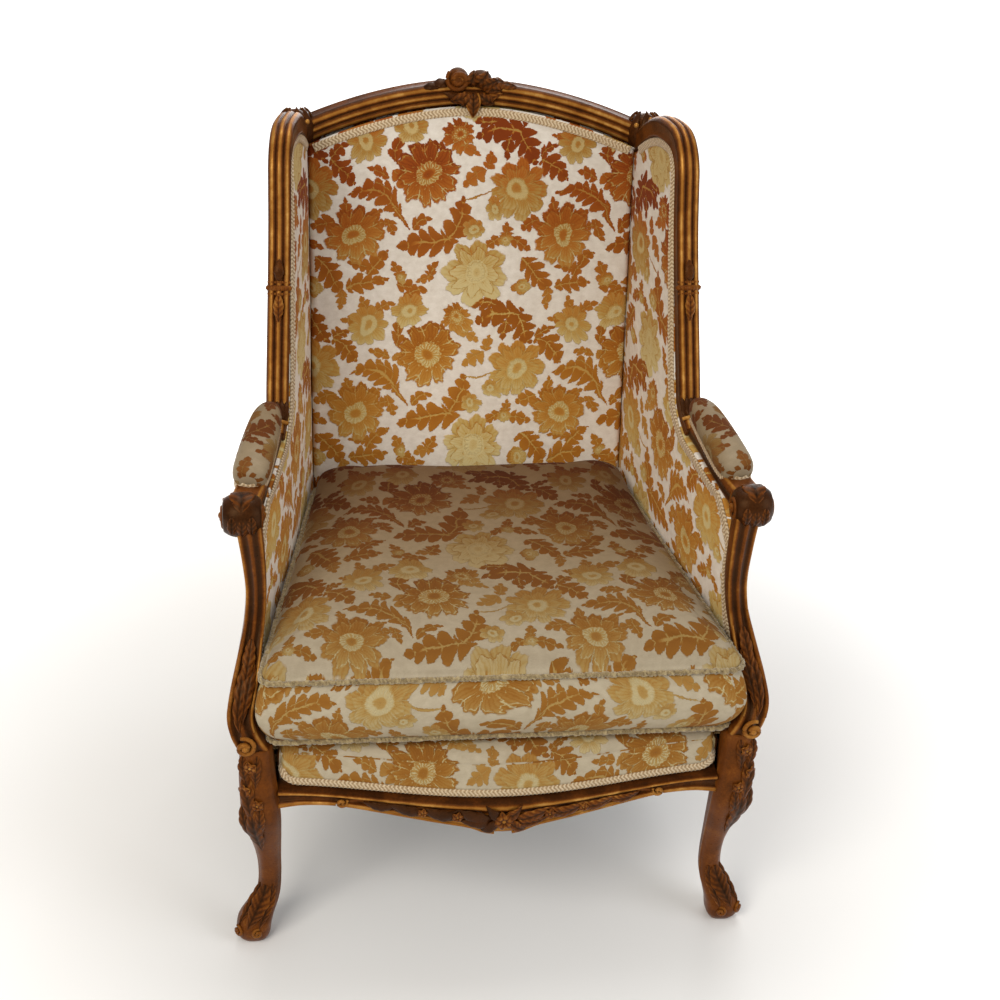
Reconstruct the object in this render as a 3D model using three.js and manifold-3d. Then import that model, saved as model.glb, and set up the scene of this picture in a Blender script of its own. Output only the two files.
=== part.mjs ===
// A wing bergere: a carved and gilded frame, a sprung and upholstered seat, and a loose cushion.
// Millimetres, +Z up. The sitter looks along -Y. Left and right are as seen from the front, so left is -X.
import * as THREE from 'three';
import { mergeVertices } from 'three/addons/utils/BufferGeometryUtils.js';
import Module from 'manifold-3d';

const wasm = await Module();
wasm.setup();
const { Manifold, Mesh: SolidMesh } = wasm;

// Heights, each from the one below it
const leg_height = 266;
const rail_height = 56;
const arm_rise = 298;
const shoulder_rise = 365;
const crest_rise = 58;
const crest_drop = 21;
const rail_top = leg_height + rail_height;
const arm_height = rail_top + arm_rise;
const shoulder_height = arm_height + shoulder_rise;

// Plan and rake
const half_depth = 380;
const side_half = 262;
const side_flare = 31;
const side_splay = 66;
const post_line = 281;
const post_rake = 65;
const pad_line = 205;
const pad_rake = 122;
const crest_bow = 25;

// Clearances
const clearance = 0.3;
const overrun = 40;
const weld = 0.0005;
const trim = 0.03;

// Timber
const rail_width = 33;
const rail_depth = 31;
const arm_width = 33;
const arm_thickness = 30;
const leg_width = 50;
const post_width = 36;
const support_width = 32;
const reed_depth = 3.2;
const reed_count = 3;
const reed_steps = 3;
const reed_camber_share = 0.3;

// Joints
const tenon_length = 15;
const tenon_thickness = 9;
const tenon_height = 34;
const peg_width = 12;

// Seat rails
const side_rail_thickness = 33;
const rear_rail_thickness = 26;
const lip_drop = 14;
const lip_thickness = 15;
const front_bow = 38;
const front_line = 327;
const front_rear_line = 282;
const border_set_back = 15;
const rebate_set_back = 27;
const apron_drop = 42;
const gimp_rise = 15;
const gimp_end_rise = 5;

// Upholstery
const pad_thickness = 10;
const pad_seam_set_back = 80;
const pad_set_in = 4;
const side_crown = 7;
const back_crown = 14;
const back_pad_out = 20.7;
const back_pad_behind = 6;
const hessian_thickness = 1.2;
const deck_thickness = 13;
const deck_crown = 4;
const deck_set_in = 1.2;
const cover_thickness = 2.5;
const cover_low_out = 20.5;
const cover_high_out = 13.5;
const wing_cover_out = 18;
const web_thickness = 2;
const web_width = 50;
const dust_thickness = 1.6;
const tack_rail_height = 20;
const tack_rail_thickness = 9;
const lower_rail_height = 38;
const lower_rail_thickness = 22;

// Cushion
const cushion_set_back = 7;
const cushion_back_gap = 6;
const cushion_front_gap = 10.7;
const cushion_rear_gap = 2.3;
const cushion_side = 104;
const cushion_crown = 34;
const cushion_corner = 30;
const cushion_bulge = 12;
const cushion_flare = 12;

// Springs
const spring_radius = 27;
const spring_waist = 20;
const spring_wire = 4;
const spring_turns = 3;
const spring_turn_steps = 7;
const spring_side_count = 4;
const spring_spacing_side = 150;
const spring_spacing_depth = 142;
const spring_centre = 50;

// Paint, gilding and cloth
const gilt = { color: 0x8c5e24, roughness: 0.45, metalness: 0.55 };
const beech = { color: 0xb48a5a, roughness: 0.8, metalness: 0 };
const velvet = { color: 0xc69a55, roughness: 0.92, metalness: 0 };
const worn_velvet = { color: 0xb59c72, roughness: 0.95, metalness: 0 };
const jute = { color: 0xa38657, roughness: 1, metalness: 0 };
const cambric = { color: 0x2c2823, roughness: 1, metalness: 0 };
const steel = { color: 0x77736c, roughness: 0.4, metalness: 0.9 };

// The shared frame lines that every piece follows
const levels = [0, leg_height, rail_top, arm_height, shoulder_height];

function level(share) {
  const step = Math.min(Math.floor(share), levels.length - 2);
  return levels[step] + (share - step) * (levels[step + 1] - levels[step]);
}

function side_x(y, z) {
  return side_half + side_flare * z / shoulder_height - side_splay * y / half_depth;
}

const back_pad_half = side_x(post_line, rail_top) + back_pad_out;

function lean_share(z) {
  return (z - rail_top) / (shoulder_height - rail_top);
}

function post_y(z) {
  return post_line + post_rake * lean_share(z);
}

function bow_y(x, z) {
  const across = Math.min(1, Math.abs(x) / back_pad_half);
  return crest_bow * Math.max(0, lean_share(z)) * (1 - across * across);
}

function pad_y(z) {
  return pad_line + pad_rake * lean_share(z);
}

// The inner skin of the side panels, which turns straight to the rear where it meets the back pad
function skin_x(y, z) {
  return Math.max(side_x(y, z) + pad_set_in, back_pad_half + clearance);
}

function skin_turn(z) {
  return half_depth * (side_x(0, z) + pad_set_in - back_pad_half - clearance) / side_splay;
}

// Turns a table of [out, along, level, width, depth] shares into rows of lengths on the chair's side
function side_rows(table, width, depth) {
  return table.map(([out, along, up, wide, deep]) => {
    const y = along * half_depth;
    const z = level(up);
    return [side_x(y, z) + out * rail_width, y, z, wide * width, deep * depth];
  });
}

// The same for legs and posts, whose first share is of the side's own half width
function leg_rows(table, width) {
  return table.map(([across, along, up, wide, deep]) => {
    const y = along * half_depth;
    const z = level(up);
    return [across * side_x(y, z), y, z, wide * width, deep * width];
  });
}

// Closed surfaces
function solid_from(points, triangles) {
  const geometry = new THREE.BufferGeometry().setFromPoints(points);
  geometry.setIndex(triangles.flat());
  return solid_from_geometry(geometry);
}

function solid_from_geometry(geometry) {
  const bare = geometry.index ? geometry : mergeVertices(geometry);
  for (const name of Object.keys(bare.attributes)) {
    if (name !== 'position') bare.deleteAttribute(name);
  }
  const merged = mergeVertices(bare, weld);
  const place = merged.attributes.position;
  const kept = [];
  let volume = 0;
  const corner = (index) => new THREE.Vector3().fromBufferAttribute(place, index);
  for (let at = 0; at < merged.index.count; at += 3) {
    const [a, b, c] = [0, 1, 2].map((step) => merged.index.getX(at + step));
    if (a === b || b === c || c === a) continue;
    kept.push([a, b, c]);
    volume += corner(a).dot(corner(b).cross(corner(c)));
  }
  const facing = kept.map(([a, b, c]) => (volume < 0 ? [a, c, b] : [a, b, c]));
  return new Manifold(new SolidMesh({
    numProp: 3,
    vertProperties: Float32Array.from(place.array),
    triVerts: Uint32Array.from(facing.flat()),
  }));
}

// The ring laid flat, so that an outline with hollows gets a true end cap
function flat_ring(ring) {
  const normal = new THREE.Vector3();
  ring.forEach((point, index) => {
    normal.add(new THREE.Vector3().crossVectors(point, ring[(index + 1) % ring.length]));
  });
  normal.normalize();
  const longest = ring.reduce((best, point) => {
    const arm = point.clone().sub(ring[0]);
    return arm.length() > best.length() ? arm : best;
  }, new THREE.Vector3());
  const across = longest.addScaledVector(normal, -longest.dot(normal)).normalize();
  const up = new THREE.Vector3().crossVectors(normal, across);
  return ring.map((point) => new THREE.Vector2(point.dot(across), point.dot(up)));
}

// Triangles over a flat ring, the best-shaped corner first, so that every point on an edge is kept
function cap(ring) {
  const flat = flat_ring(ring);
  const left = flat.map((_, index) => index);
  const area = (a, b, c) => (b.x - a.x) * (c.y - a.y) - (b.y - a.y) * (c.x - a.x);
  const triangles = [];
  while (left.length > 3) {
    let best = { fit: -Infinity, at: 0 };
    left.forEach((index, at) => {
      const before = left[(at + left.length - 1) % left.length];
      const after = left[(at + 1) % left.length];
      const [a, b, c] = [flat[before], flat[index], flat[after]];
      const inside = (spot) => area(a, b, spot) >= 0 && area(b, c, spot) >= 0 && area(c, a, spot) >= 0;
      const blocked = left.some((other) => (
        other !== before && other !== index && other !== after && inside(flat[other])));
      const longest = Math.max(a.distanceToSquared(b), b.distanceToSquared(c), c.distanceToSquared(a));
      const fit = blocked ? -Infinity : area(a, b, c) / longest;
      if (fit > best.fit) best = { fit, at, triangle: [before, index, after] };
    });
    triangles.push(best.triangle);
    left.splice(best.at, 1);
  }
  triangles.push(left);
  return triangles;
}

function loft(rings) {
  const count = rings[0].length;
  const last = (rings.length - 1) * count;
  const triangles = [];
  for (let row = 0; row < rings.length - 1; row += 1) {
    for (let step = 0; step < count; step += 1) {
      const a = row * count + step;
      const b = row * count + (step + 1) % count;
      triangles.push([a, b, b + count], [a, b + count, a + count]);
    }
  }
  cap(rings[0]).forEach(([a, b, c]) => triangles.push([a, c, b]));
  cap(rings.at(-1)).forEach(([a, b, c]) => triangles.push([last + a, last + b, last + c]));
  return solid_from(rings.flat(), triangles);
}

// Rows of numbers, smoothed so that the curve runs through each of them
function smooth_rows(rows, steps) {
  const result = [];
  const last = rows.length - 1;
  for (let row = 0; row < last; row += 1) {
    const before = rows[Math.max(row - 1, 0)];
    const after = rows[Math.min(row + 2, last)];
    for (let step = 0; step < steps; step += 1) {
      const t = step / steps;
      result.push(rows[row].map((from, column) => {
        const to = rows[row + 1][column];
        const turn = after[column] - before[column] + 3 * (from - to);
        const bend = 2 * before[column] - 5 * from + 4 * to - after[column];
        return from + 0.5 * t * (to - before[column] + t * (bend + t * turn));
      }));
    }
  }
  result.push(rows[last]);
  return result;
}

// Rings along rows of [x, y, z, width, depth]; hint is the way that the section's width runs,
// and grow moves the two ends out
function sweep(rows, hint, section, grow = 0) {
  const spots = rows.map((row) => new THREE.Vector3(row[0], row[1], row[2]));
  return loft(rows.map((row, index) => {
    const next = spots[Math.min(index + 1, spots.length - 1)];
    const ahead = next.clone().sub(spots[Math.max(index - 1, 0)]).normalize();
    const across = hint.clone().addScaledVector(ahead, -hint.dot(ahead)).normalize();
    const up = new THREE.Vector3().crossVectors(ahead, across);
    const shift = grow * ((index === rows.length - 1) - (index === 0));
    const middle = spots[index].clone().addScaledVector(ahead, shift);
    return section(row[3], row[4]).map(([u, v]) => (
      middle.clone().addScaledVector(across, u).addScaledVector(up, v)));
  }));
}

// Level rings down or up a leg or a post; grow moves its two ends out as well
function column(rows, section, grow) {
  const rise = Math.sign(rows.at(-1)[2] - rows[0][2]) * grow;
  return loft(rows.map(([x, y, z, width, depth], index) => {
    const shift = (index === rows.length - 1) - (index === 0);
    return section(width, depth).map(([u, v]) => new THREE.Vector3(x + u, y + v, z + shift * rise));
  }));
}

// Sections
function reeded(grow) {
  return (width, depth) => {
    const ring = [];
    const steps = reed_count * reed_steps;
    for (let step = 0; step <= steps; step += 1) {
      const across = 2 * step / steps - 1;
      const wave = Math.sin(Math.PI * (step % reed_steps) / reed_steps);
      const camber = 1 - reed_camber_share * across * across;
      const face = camber * depth / 2 - reed_depth * (1 - wave) + grow;
      ring.push([across * (width / 2 + grow), face]);
    }
    ring.push([width / 2 + grow, -depth / 2 - grow]);
    ring.push([-width / 2 - grow, -depth / 2 - grow]);
    return ring;
  };
}

function rounded(grow, count, squareness) {
  return (width, depth) => Array.from({ length: count }, (_, index) => {
    const angle = 2 * Math.PI * (index + 0.5) / count;
    const across = Math.cos(angle);
    const ahead = Math.sin(angle);
    const spread = Math.abs(across) ** squareness + Math.abs(ahead) ** squareness;
    const reach = spread ** (-1 / squareness);
    return [reach * across * (width / 2 + grow), reach * ahead * (depth / 2 + grow)];
  });
}

// A block by its middle and its size
function block(middle, size, grow = 0) {
  const geometry = new THREE.BoxGeometry(size[0] + 2 * grow, size[1] + 2 * grow, size[2] + 2 * grow);
  geometry.translate(middle[0], middle[1], middle[2]);
  return solid_from_geometry(geometry);
}

function ball(middle, size, around, down) {
  const geometry = new THREE.SphereGeometry(1, around, down);
  geometry.rotateX(Math.PI / 2);
  geometry.scale(size[0], size[1], size[2]);
  geometry.translate(middle[0], middle[1], middle[2]);
  return solid_from_geometry(geometry);
}

function mirrored(solid) {
  return solid.mirror([1, 0, 0]);
}

function join(parts) {
  return parts.reduce((whole, part) => whole.add(part));
}

function cut(whole, parts) {
  return parts.reduce((rest, part) => rest.subtract(part), whole);
}

// The biggest body of a cut, so that no chip past a joint stays
function main_body(solid) {
  const bodies = solid.decompose();
  return bodies.reduce((best, part) => (part.volume() > best.volume() ? part : best)).simplify(trim);
}

// A slab between two surfaces given over a square of shares
function slab(near, far, across, down) {
  const points = [];
  const triangles = [];
  const at = (side, row, step) => (side * (down + 1) + row) * (across + 1) + step;
  for (const surface of [near, far]) {
    for (let row = 0; row <= down; row += 1) {
      for (let step = 0; step <= across; step += 1) points.push(surface(step / across, row / down));
    }
  }
  const quad = (a, b, c, d) => triangles.push([a, b, c], [a, c, d]);
  for (let row = 0; row < down; row += 1) {
    for (let step = 0; step < across; step += 1) {
      quad(at(0, row, step), at(0, row, step + 1), at(0, row + 1, step + 1), at(0, row + 1, step));
      quad(at(1, row, step), at(1, row + 1, step), at(1, row + 1, step + 1), at(1, row, step + 1));
    }
    quad(at(0, row, 0), at(0, row + 1, 0), at(1, row + 1, 0), at(1, row, 0));
    quad(at(0, row, across), at(1, row, across), at(1, row + 1, across), at(0, row + 1, across));
  }
  for (let step = 0; step < across; step += 1) {
    quad(at(0, 0, step), at(1, 0, step), at(1, 0, step + 1), at(0, 0, step + 1));
    quad(at(0, down, step), at(0, down, step + 1), at(1, down, step + 1), at(1, down, step));
  }
  return solid_from(points, triangles);
}

// A straight prism over an outline of [y, z] places, running along x
function side_prism(outline, from, to) {
  return loft([from, to].map((x) => outline.map(([y, z]) => new THREE.Vector3(x, y, z))));
}

// The same over an outline of [x, y] places, standing along z
function plan_prism(outline, from, to) {
  return loft([from, to].map((z) => outline.map(([x, y]) => new THREE.Vector3(x, y, z))));
}

const sideways = new THREE.Vector3(1, 0, 0);
const upward = new THREE.Vector3(0, 0, 1);

// Cabriole front leg: [across, along, level, width, depth] shares, floor to the seat
const front_leg_share = [
  [1.078, -0.779, 0.000, 0.70, 0.70],
  [1.078, -0.782, 0.040, 0.92, 0.90],
  [1.070, -0.782, 0.113, 0.96, 0.94],
  [1.036, -0.772, 0.207, 0.78, 0.80],
  [1.005, -0.761, 0.301, 0.62, 0.64],
  [0.992, -0.762, 0.414, 0.58, 0.60],
  [0.987, -0.776, 0.564, 0.63, 0.66],
  [0.987, -0.806, 0.752, 0.84, 0.87],
  [0.990, -0.824, 0.902, 1.00, 1.00],
  [0.995, -0.816, 1.250, 0.97, 1.00],
  [1.001, -0.800, 1.786, 0.93, 0.95],
  [1.000, -0.792, 2.074, 0.86, 0.86],
];

function front_leg(grow) {
  return column(smooth_rows(leg_rows(front_leg_share, leg_width), 2), rounded(grow, 10, 2.8), grow);
}

// Rear leg up to the seat; above it the post follows the straight line of the back
const rear_leg_share = [
  [1.327, 0.979, 0.000, 0.78, 0.78],
  [1.272, 0.926, 0.226, 0.82, 0.82],
  [1.192, 0.837, 0.564, 0.94, 0.98],
  [1.144, 0.774, 0.902, 1.10, 1.16],
  [1.129, 0.753, 1.429, 1.10, 1.20],
];
const post_level_share = [2, 2.6, 3.3, 4.03];
const post_across_share = 1.121;
const post_wide_share = 1.05;
const post_slim_share = 0.95;
const clasp_share = [0.68, 0.62, 0.88];
const clasp_level_share = 3.965;

function back_post(grow) {
  const upper = post_level_share.map((share) => {
    const z = level(share);
    const wide = post_width * (share > 2 ? post_slim_share : post_wide_share);
    return [post_across_share * side_x(post_y(z), z), post_y(z), z, wide, wide];
  });
  const rows = leg_rows(rear_leg_share, post_width).concat(upper);
  const z = level(clasp_level_share);
  const clasp = ball([post_across_share * side_x(post_y(z), z), post_y(z), z],
    clasp_share.map((share) => share * post_width + grow), 10, 6);
  return column(rows, rounded(grow, 8, 4), grow).add(clasp);
}

// Wing rail: [out, along, level, width, depth] shares, from the post forward and down to the arm
const wing_share = [
  [0.79, 0.905, 3.915, 1.0, 1.0],
  [0.66, 0.800, 3.985, 1.0, 1.0],
  [0.52, 0.689, 4.052, 0.97, 1.0],
  [0.43, 0.589, 4.086, 0.95, 1.0],
  [0.43, 0.490, 4.090, 0.95, 1.0],
  [0.43, 0.435, 4.076, 0.95, 1.0],
  [0.43, 0.393, 4.040, 0.95, 1.0],
  [0.43, 0.364, 3.990, 0.95, 1.0],
  [0.43, 0.345, 3.925, 0.95, 1.0],
  [0.43, 0.303, 3.775, 0.95, 1.0],
  [0.43, 0.229, 3.564, 0.95, 1.0],
  [0.43, 0.100, 3.222, 0.95, 1.0],
  [0.40, 0.055, 3.135, 0.92, 0.9],
  [0.36, -0.030, 3.075, 0.80, 0.8],
];
const bead_row_share = 10 / 13;
const bead_share = [0.56, 0.3, 0.62];

function wing_rows() {
  return side_rows(wing_share, rail_width, rail_depth);
}

function wing_rail(grow) {
  const rail = sweep(wing_rows(), sideways, reeded(grow), grow);
  const [x, y, z] = wing_rows()[Math.round(bead_row_share * (wing_share.length - 1))];
  const bead = ball([x, y, z], [bead_share[0] * rail_width + grow, bead_share[2] * rail_depth + grow,
    bead_share[1] * rail_depth + grow], 10, 4);
  return rail.add(bead);
}

// Arm rail, from the post forward to the rolled knuckle
const arm_share = [
  [0.85, 0.789, 3.055, 0.73, 0.90],
  [0.85, 0.474, 3.077, 0.73, 0.90],
  [0.80, 0.211, 3.088, 0.80, 0.92],
  [0.66, 0.053, 3.082, 1.12, 0.95],
  [0.61, -0.132, 3.068, 1.20, 0.98],
  [0.61, -0.297, 3.038, 1.20, 1.00],
  [0.61, -0.395, 3.027, 1.25, 1.10],
  [0.64, -0.485, 3.022, 1.25, 1.20],
];
const knuckle_share = [0.64, -0.503, 3.018];
// The knuckle's drum about x: [out, radius] shares of the arm's thickness, from one boss to the middle
const knuckle_drum_share = [
  [0.89, 0.20],
  [0.86, 0.33],
  [0.79, 0.38],
  [0.76, 0.80],
  [0.62, 0.95],
  [0.00, 1.02],
];
const knuckle_sides = 14;

function knuckle_drum(grow) {
  const y = knuckle_share[1] * half_depth;
  const z = level(knuckle_share[2]);
  const x = side_x(y, z) + knuckle_share[0] * rail_width;
  const other = knuckle_drum_share.slice(0, -1).map(([out, radius]) => [-out, radius]);
  return loft(other.concat(knuckle_drum_share.toReversed()).map(([out, radius]) => {
    const reach = radius * arm_thickness + grow;
    const side = x + out * arm_thickness + Math.sign(out) * grow;
    return Array.from({ length: knuckle_sides }, (_, step) => {
      const angle = 2 * Math.PI * step / knuckle_sides;
      return new THREE.Vector3(side, y + reach * Math.cos(angle), z + reach * Math.sin(angle));
    });
  }));
}

function arm_rail(grow) {
  const rail = sweep(side_rows(arm_share, arm_width, arm_thickness), sideways,
    rounded(grow, 10, 3.2));
  return rail.add(knuckle_drum(grow));
}

// Arm support, from the knuckle down to the leg
const support_share = [
  [0.39, -0.516, 3.000, 1.06, 1.06],
  [0.24, -0.537, 2.849, 0.94, 1.00],
  [0.18, -0.553, 2.698, 0.84, 1.03],
  [0.24, -0.584, 2.564, 0.86, 1.06],
  [0.38, -0.642, 2.430, 0.92, 1.13],
  [0.53, -0.705, 2.312, 1.00, 1.20],
  [0.61, -0.750, 2.221, 1.06, 1.26],
  [0.42, -0.782, 2.144, 1.18, 1.32],
  [0.10, -0.791, 2.075, 1.28, 1.36],
];

function arm_support(grow) {
  return column(side_rows(support_share, support_width, support_width),
    rounded(grow, 10, 3.4), grow);
}

// Crest rail, an arch that also bows to the rear, with its carved cresting
const crest_steps = 16;
const cresting_share = [
  [-0.085, 0.99, 0.5, 0.46, 0.56],
  [0.045, 0.92, 0.56, 0.42, 0.4],
];
// Its leaves: [along, up, forward, width, depth] shares, from each leaf's foot to its tip
const crest_leaf_share = [
  [
    [0.00, 0.50, 0.80, 0.40, 0.30],
    [0.03, 1.30, 1.20, 0.66, 0.36],
    [0.06, 1.80, 1.00, 0.50, 0.30],
    [0.08, 2.10, 0.60, 0.14, 0.12],
  ],
  [
    [0.02, 0.60, 0.90, 0.40, 0.30],
    [0.07, 1.10, 1.20, 0.60, 0.34],
    [0.12, 1.20, 1.00, 0.45, 0.28],
    [0.16, 1.10, 0.70, 0.14, 0.12],
  ],
  [
    [0.01, 0.20, 1.00, 0.40, 0.30],
    [0.05, -0.10, 1.40, 0.50, 0.30],
    [0.10, -0.30, 1.30, 0.14, 0.14],
  ],
  [
    [-0.02, 0.20, 1.00, 0.40, 0.30],
    [-0.07, -0.10, 1.40, 0.50, 0.30],
    [-0.12, -0.20, 1.30, 0.14, 0.14],
  ],
  [
    [-0.12, 1.00, 0.60, 0.40, 0.30],
    [-0.19, 1.25, 0.80, 0.50, 0.36],
    [-0.27, 1.00, 0.60, 0.14, 0.14],
  ],
  [
    [0.10, 1.00, 0.60, 0.40, 0.30],
    [0.18, 1.25, 0.80, 0.50, 0.36],
    [0.27, 1.00, 0.60, 0.14, 0.14],
  ],
];
const pendant_leaf_share = [
  [0, 0.6, 0.9, 0.40, 0.3],
  [0, -0.8, 1.5, 0.62, 0.34],
  [0, -2.0, 1.8, 0.45, 0.3],
  [0, -2.8, 1.9, 0.14, 0.14],
];

function crest_leaf(table, hint, grow) {
  const rows = table.map(([along, up, forward, wide, deep]) => {
    const [x, y, z] = crest_spot(along);
    return [x, y - forward * rail_width / 2, z + up * rail_width / 2, wide * rail_width,
      deep * rail_width];
  });
  return sweep(smooth_rows(rows, 2), hint, rounded(grow, 8, 1.6), grow);
}

function crest_spot(share) {
  const half = post_across_share * side_x(post_y(shoulder_height), shoulder_height);
  const z = shoulder_height - crest_drop + crest_rise * (1 - Math.abs(share) ** 1.85);
  return [share * half, post_y(shoulder_height) + crest_bow * (1 - share * share), z];
}

function crest_rail(grow) {
  const rows = [];
  for (let step = 0; step <= crest_steps; step += 1) {
    rows.push([...crest_spot(2 * step / crest_steps - 1), rail_width, rail_width]);
  }
  const leaves = cresting_share.map(([along, up, wide, deep, high]) => {
    const [x, y, z] = crest_spot(along);
    return ball([x, y, z + up * rail_width / 2],
      [wide, deep, high].map((share) => share * rail_width + grow), 8, 6);
  });
  const blades = crest_leaf_share.map((table) => crest_leaf(table, upward, grow));
  return join([sweep(rows, upward, reeded(grow)), ...leaves, ...blades,
    crest_leaf(pendant_leaf_share, sideways, grow)]);
}

// Serpentine front rail; the apron's lower edge is a table of [across, drop] shares
const apron_share = [
  [0, 0.96],
  [0.07, 0.90],
  [0.15, 0.66],
  [0.30, 0.47],
  [0.48, 0.28],
  [0.66, 0.13],
  [0.80, 0.14],
  [0.88, 0.24],
  [0.945, 0.37],
];

function front_half() {
  const z = (leg_height + rail_top) / 2;
  return side_x(-(front_line + front_rear_line) / 2, z);
}

function front_y(x) {
  const wave = Math.cos(Math.PI * x / (2 * front_half()));
  return -front_line - front_bow * wave * wave;
}

function gimp_line(x) {
  return leg_height + gimp_rise - gimp_end_rise * (1 - (x / front_half()) ** 2);
}

function apron_rows() {
  const other = apron_share.slice(1).reverse().map(([across, drop]) => [-across, drop]);
  return other.concat(apron_share)
    .map(([across, drop]) => [across * front_half(), leg_height - drop * apron_drop]);
}

// The front rail's section: [set back in shares of the rebate, height in shares of its shown face]
const front_face_share = [
  [0.52, 0],
  [0.18, 0.02],
  [0, 0.16],
  [0.16, 0.3],
  [0.2, 0.55],
  [0.04, 0.74],
  [0.02, 0.9],
  [0.22, 1],
  [1, 1],
];
const front_lip_share = 0.95;

function front_rail_ring(x, low) {
  const high = gimp_line(x);
  const front = front_y(x);
  const ring = front_face_share.map(([back, up]) => (
    new THREE.Vector3(x, front + back * rebate_set_back, low + up * (high - low))));
  ring.push(new THREE.Vector3(x, front + rebate_set_back, rail_top));
  ring.push(new THREE.Vector3(x, -front_rear_line, rail_top));
  ring.push(new THREE.Vector3(x, -front_rear_line, leg_height));
  ring.push(new THREE.Vector3(x, front + front_lip_share * rebate_set_back, leg_height));
  ring.push(new THREE.Vector3(x, front + front_lip_share * rebate_set_back, (low + leg_height) / 2));
  return ring;
}

// Side seat rail: [out, along] shares of its bowed centre line
const side_rail_share = [
  [0.68, 0.70],
  [0.60, 0.50],
  [0.50, 0.15],
  [0.42, -0.25],
  [0.30, -0.60],
  [0.10, -0.80],
];

function rail_section(thickness, grow) {
  return () => [
    [thickness / 2 + grow, -rail_height / 2 - lip_drop - grow],
    [thickness / 2 + grow, rail_height / 2 + grow],
    [-thickness / 2 - grow, rail_height / 2 + grow],
    [-thickness / 2 - grow, -rail_height / 2 - grow],
    [thickness / 2 - lip_thickness - grow, -rail_height / 2 - grow],
    [thickness / 2 - lip_thickness - grow, -rail_height / 2 - lip_drop - grow],
  ];
}

function side_rail(grow) {
  const z = (leg_height + rail_top) / 2;
  const rows = side_rail_share.map(([out, along]) => {
    const y = along * half_depth;
    return [side_x(y, z) + out * rail_width, y, z, side_rail_thickness, rail_height];
  });
  return sweep(rows, sideways, rail_section(side_rail_thickness, grow), grow);
}

const rear_end_share = 0.22;

function rear_rail(grow) {
  const z = (leg_height + rail_top) / 2;
  const half = post_across_share * side_x(post_line, z) - rear_end_share * post_width;
  const rows = [-half, half].map((x) => [x, post_line, z, rear_rail_thickness, rail_height]);
  return sweep(rows, new THREE.Vector3(0, 1, 0), rail_section(rear_rail_thickness, grow), grow);
}

// Tenons, each [middle, size], cut from the solid that holds them with the clearance round them
const rail_middle = (leg_height + rail_top) / 2;
const leg_line_share = -0.805;
const leg_y = leg_line_share * half_depth;
const leg_x = side_x(leg_y, rail_middle);
const post_x = post_across_share * side_x(post_line, rail_middle);
const tenon_reach_share = 0.5;
const post_reach_share = 0.62;
const arm_tenon_level_share = 3.055;
const wing_tenon_level_share = 3.95;
const lower_rail_level_share = 2.2;
const crest_tenon_across_share = 0.93;

function post_x_at(z) {
  return post_across_share * side_x(post_y(z), z);
}

function tenon(middle, size) {
  return { solid: block(middle, size), pocket: block(middle, size, clearance) };
}

const front_tenon = tenon(
  [leg_x - leg_width * post_reach_share, (rebate_set_back - front_line - front_rear_line) / 2, rail_middle],
  [2 * tenon_length, tenon_thickness, tenon_height]);
const side_tenon = tenon(
  [leg_x, leg_y + leg_width * tenon_reach_share, rail_middle],
  [tenon_thickness, 2 * tenon_length, tenon_height]);
const side_rear_tenon = tenon(
  [post_x, post_line - post_width * post_reach_share, rail_middle],
  [tenon_thickness, 2 * tenon_length, tenon_height]);
const rear_tenon = tenon(
  [post_x - post_width * post_reach_share, post_line, rail_middle],
  [2 * tenon_length, tenon_thickness, tenon_height]);

const arm_z = level(arm_tenon_level_share);
const arm_tenon = tenon(
  [post_x_at(arm_z), post_y(arm_z) - post_width * tenon_reach_share, arm_z],
  [tenon_thickness, 2 * tenon_length, peg_width]);

const wing_z = level(wing_tenon_level_share);
const wing_tenon = tenon(
  [post_x_at(wing_z), post_y(wing_z) - post_width * tenon_reach_share, wing_z],
  [tenon_thickness, 2 * tenon_length, peg_width]);

const lower_rail_z = level(lower_rail_level_share);
const lower_tenon = tenon(
  [post_x_at(lower_rail_z) - post_width * tenon_reach_share, post_y(lower_rail_z), lower_rail_z],
  [2 * tenon_length, tenon_thickness, peg_width]);

const crest_end = crest_spot(crest_tenon_across_share);
const crest_tenon = tenon(crest_end, [2 * tenon_length, tenon_thickness, peg_width]);

// A dowel that stands up from one place of a side table
function dowel_at(table, row, width) {
  const [x, y, z] = side_rows(table, width, width)[row];
  return tenon([x, y, z], [peg_width, peg_width, 2 * tenon_length]);
}

const foot_dowel = dowel_at(support_share, support_share.length - 1, support_width);
const head_dowel = dowel_at(support_share, 1, support_width);
const wing_dowel = dowel_at(wing_share, wing_share.length - 2, rail_width);

// The frame's solids, right-hand ones first
const grown_leg = front_leg(clearance);
const grown_post = back_post(clearance);
const grown_support = arm_support(clearance);
const grown_arm = arm_rail(clearance);
const grown_wing = wing_rail(clearance);
const grown_side_rail = side_rail(clearance);
const grown_rear_rail = rear_rail(clearance);

const support_foot = level(support_share.at(-1)[2]);
const support_seat = block(
  [side_half, leg_y, support_foot - clearance / 2],
  [2 * side_half, half_depth, clearance]);

const leg_solid = main_body(cut(front_leg(0), [
  block([side_half, leg_y, support_foot + overrun / 2 - clearance],
    [2 * side_half, half_depth, overrun]),
  front_tenon.pocket, side_tenon.pocket, foot_dowel.pocket]));
const post_solid = main_body(cut(back_post(0), [side_rear_tenon.pocket, rear_tenon.pocket,
  arm_tenon.pocket, wing_tenon.pocket, lower_tenon.pocket, crest_tenon.pocket]));
const arm_solid = main_body(cut(arm_rail(0), [grown_post])
  .add(arm_tenon.solid).subtract(head_dowel.pocket).subtract(wing_dowel.pocket));
const support_solid = main_body(cut(arm_support(0), [grown_arm, support_seat])
  .add(head_dowel.solid).add(foot_dowel.solid));
const wing_solid = main_body(cut(wing_rail(0), [grown_arm, grown_post])
  .add(wing_tenon.solid).add(wing_dowel.solid));

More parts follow.
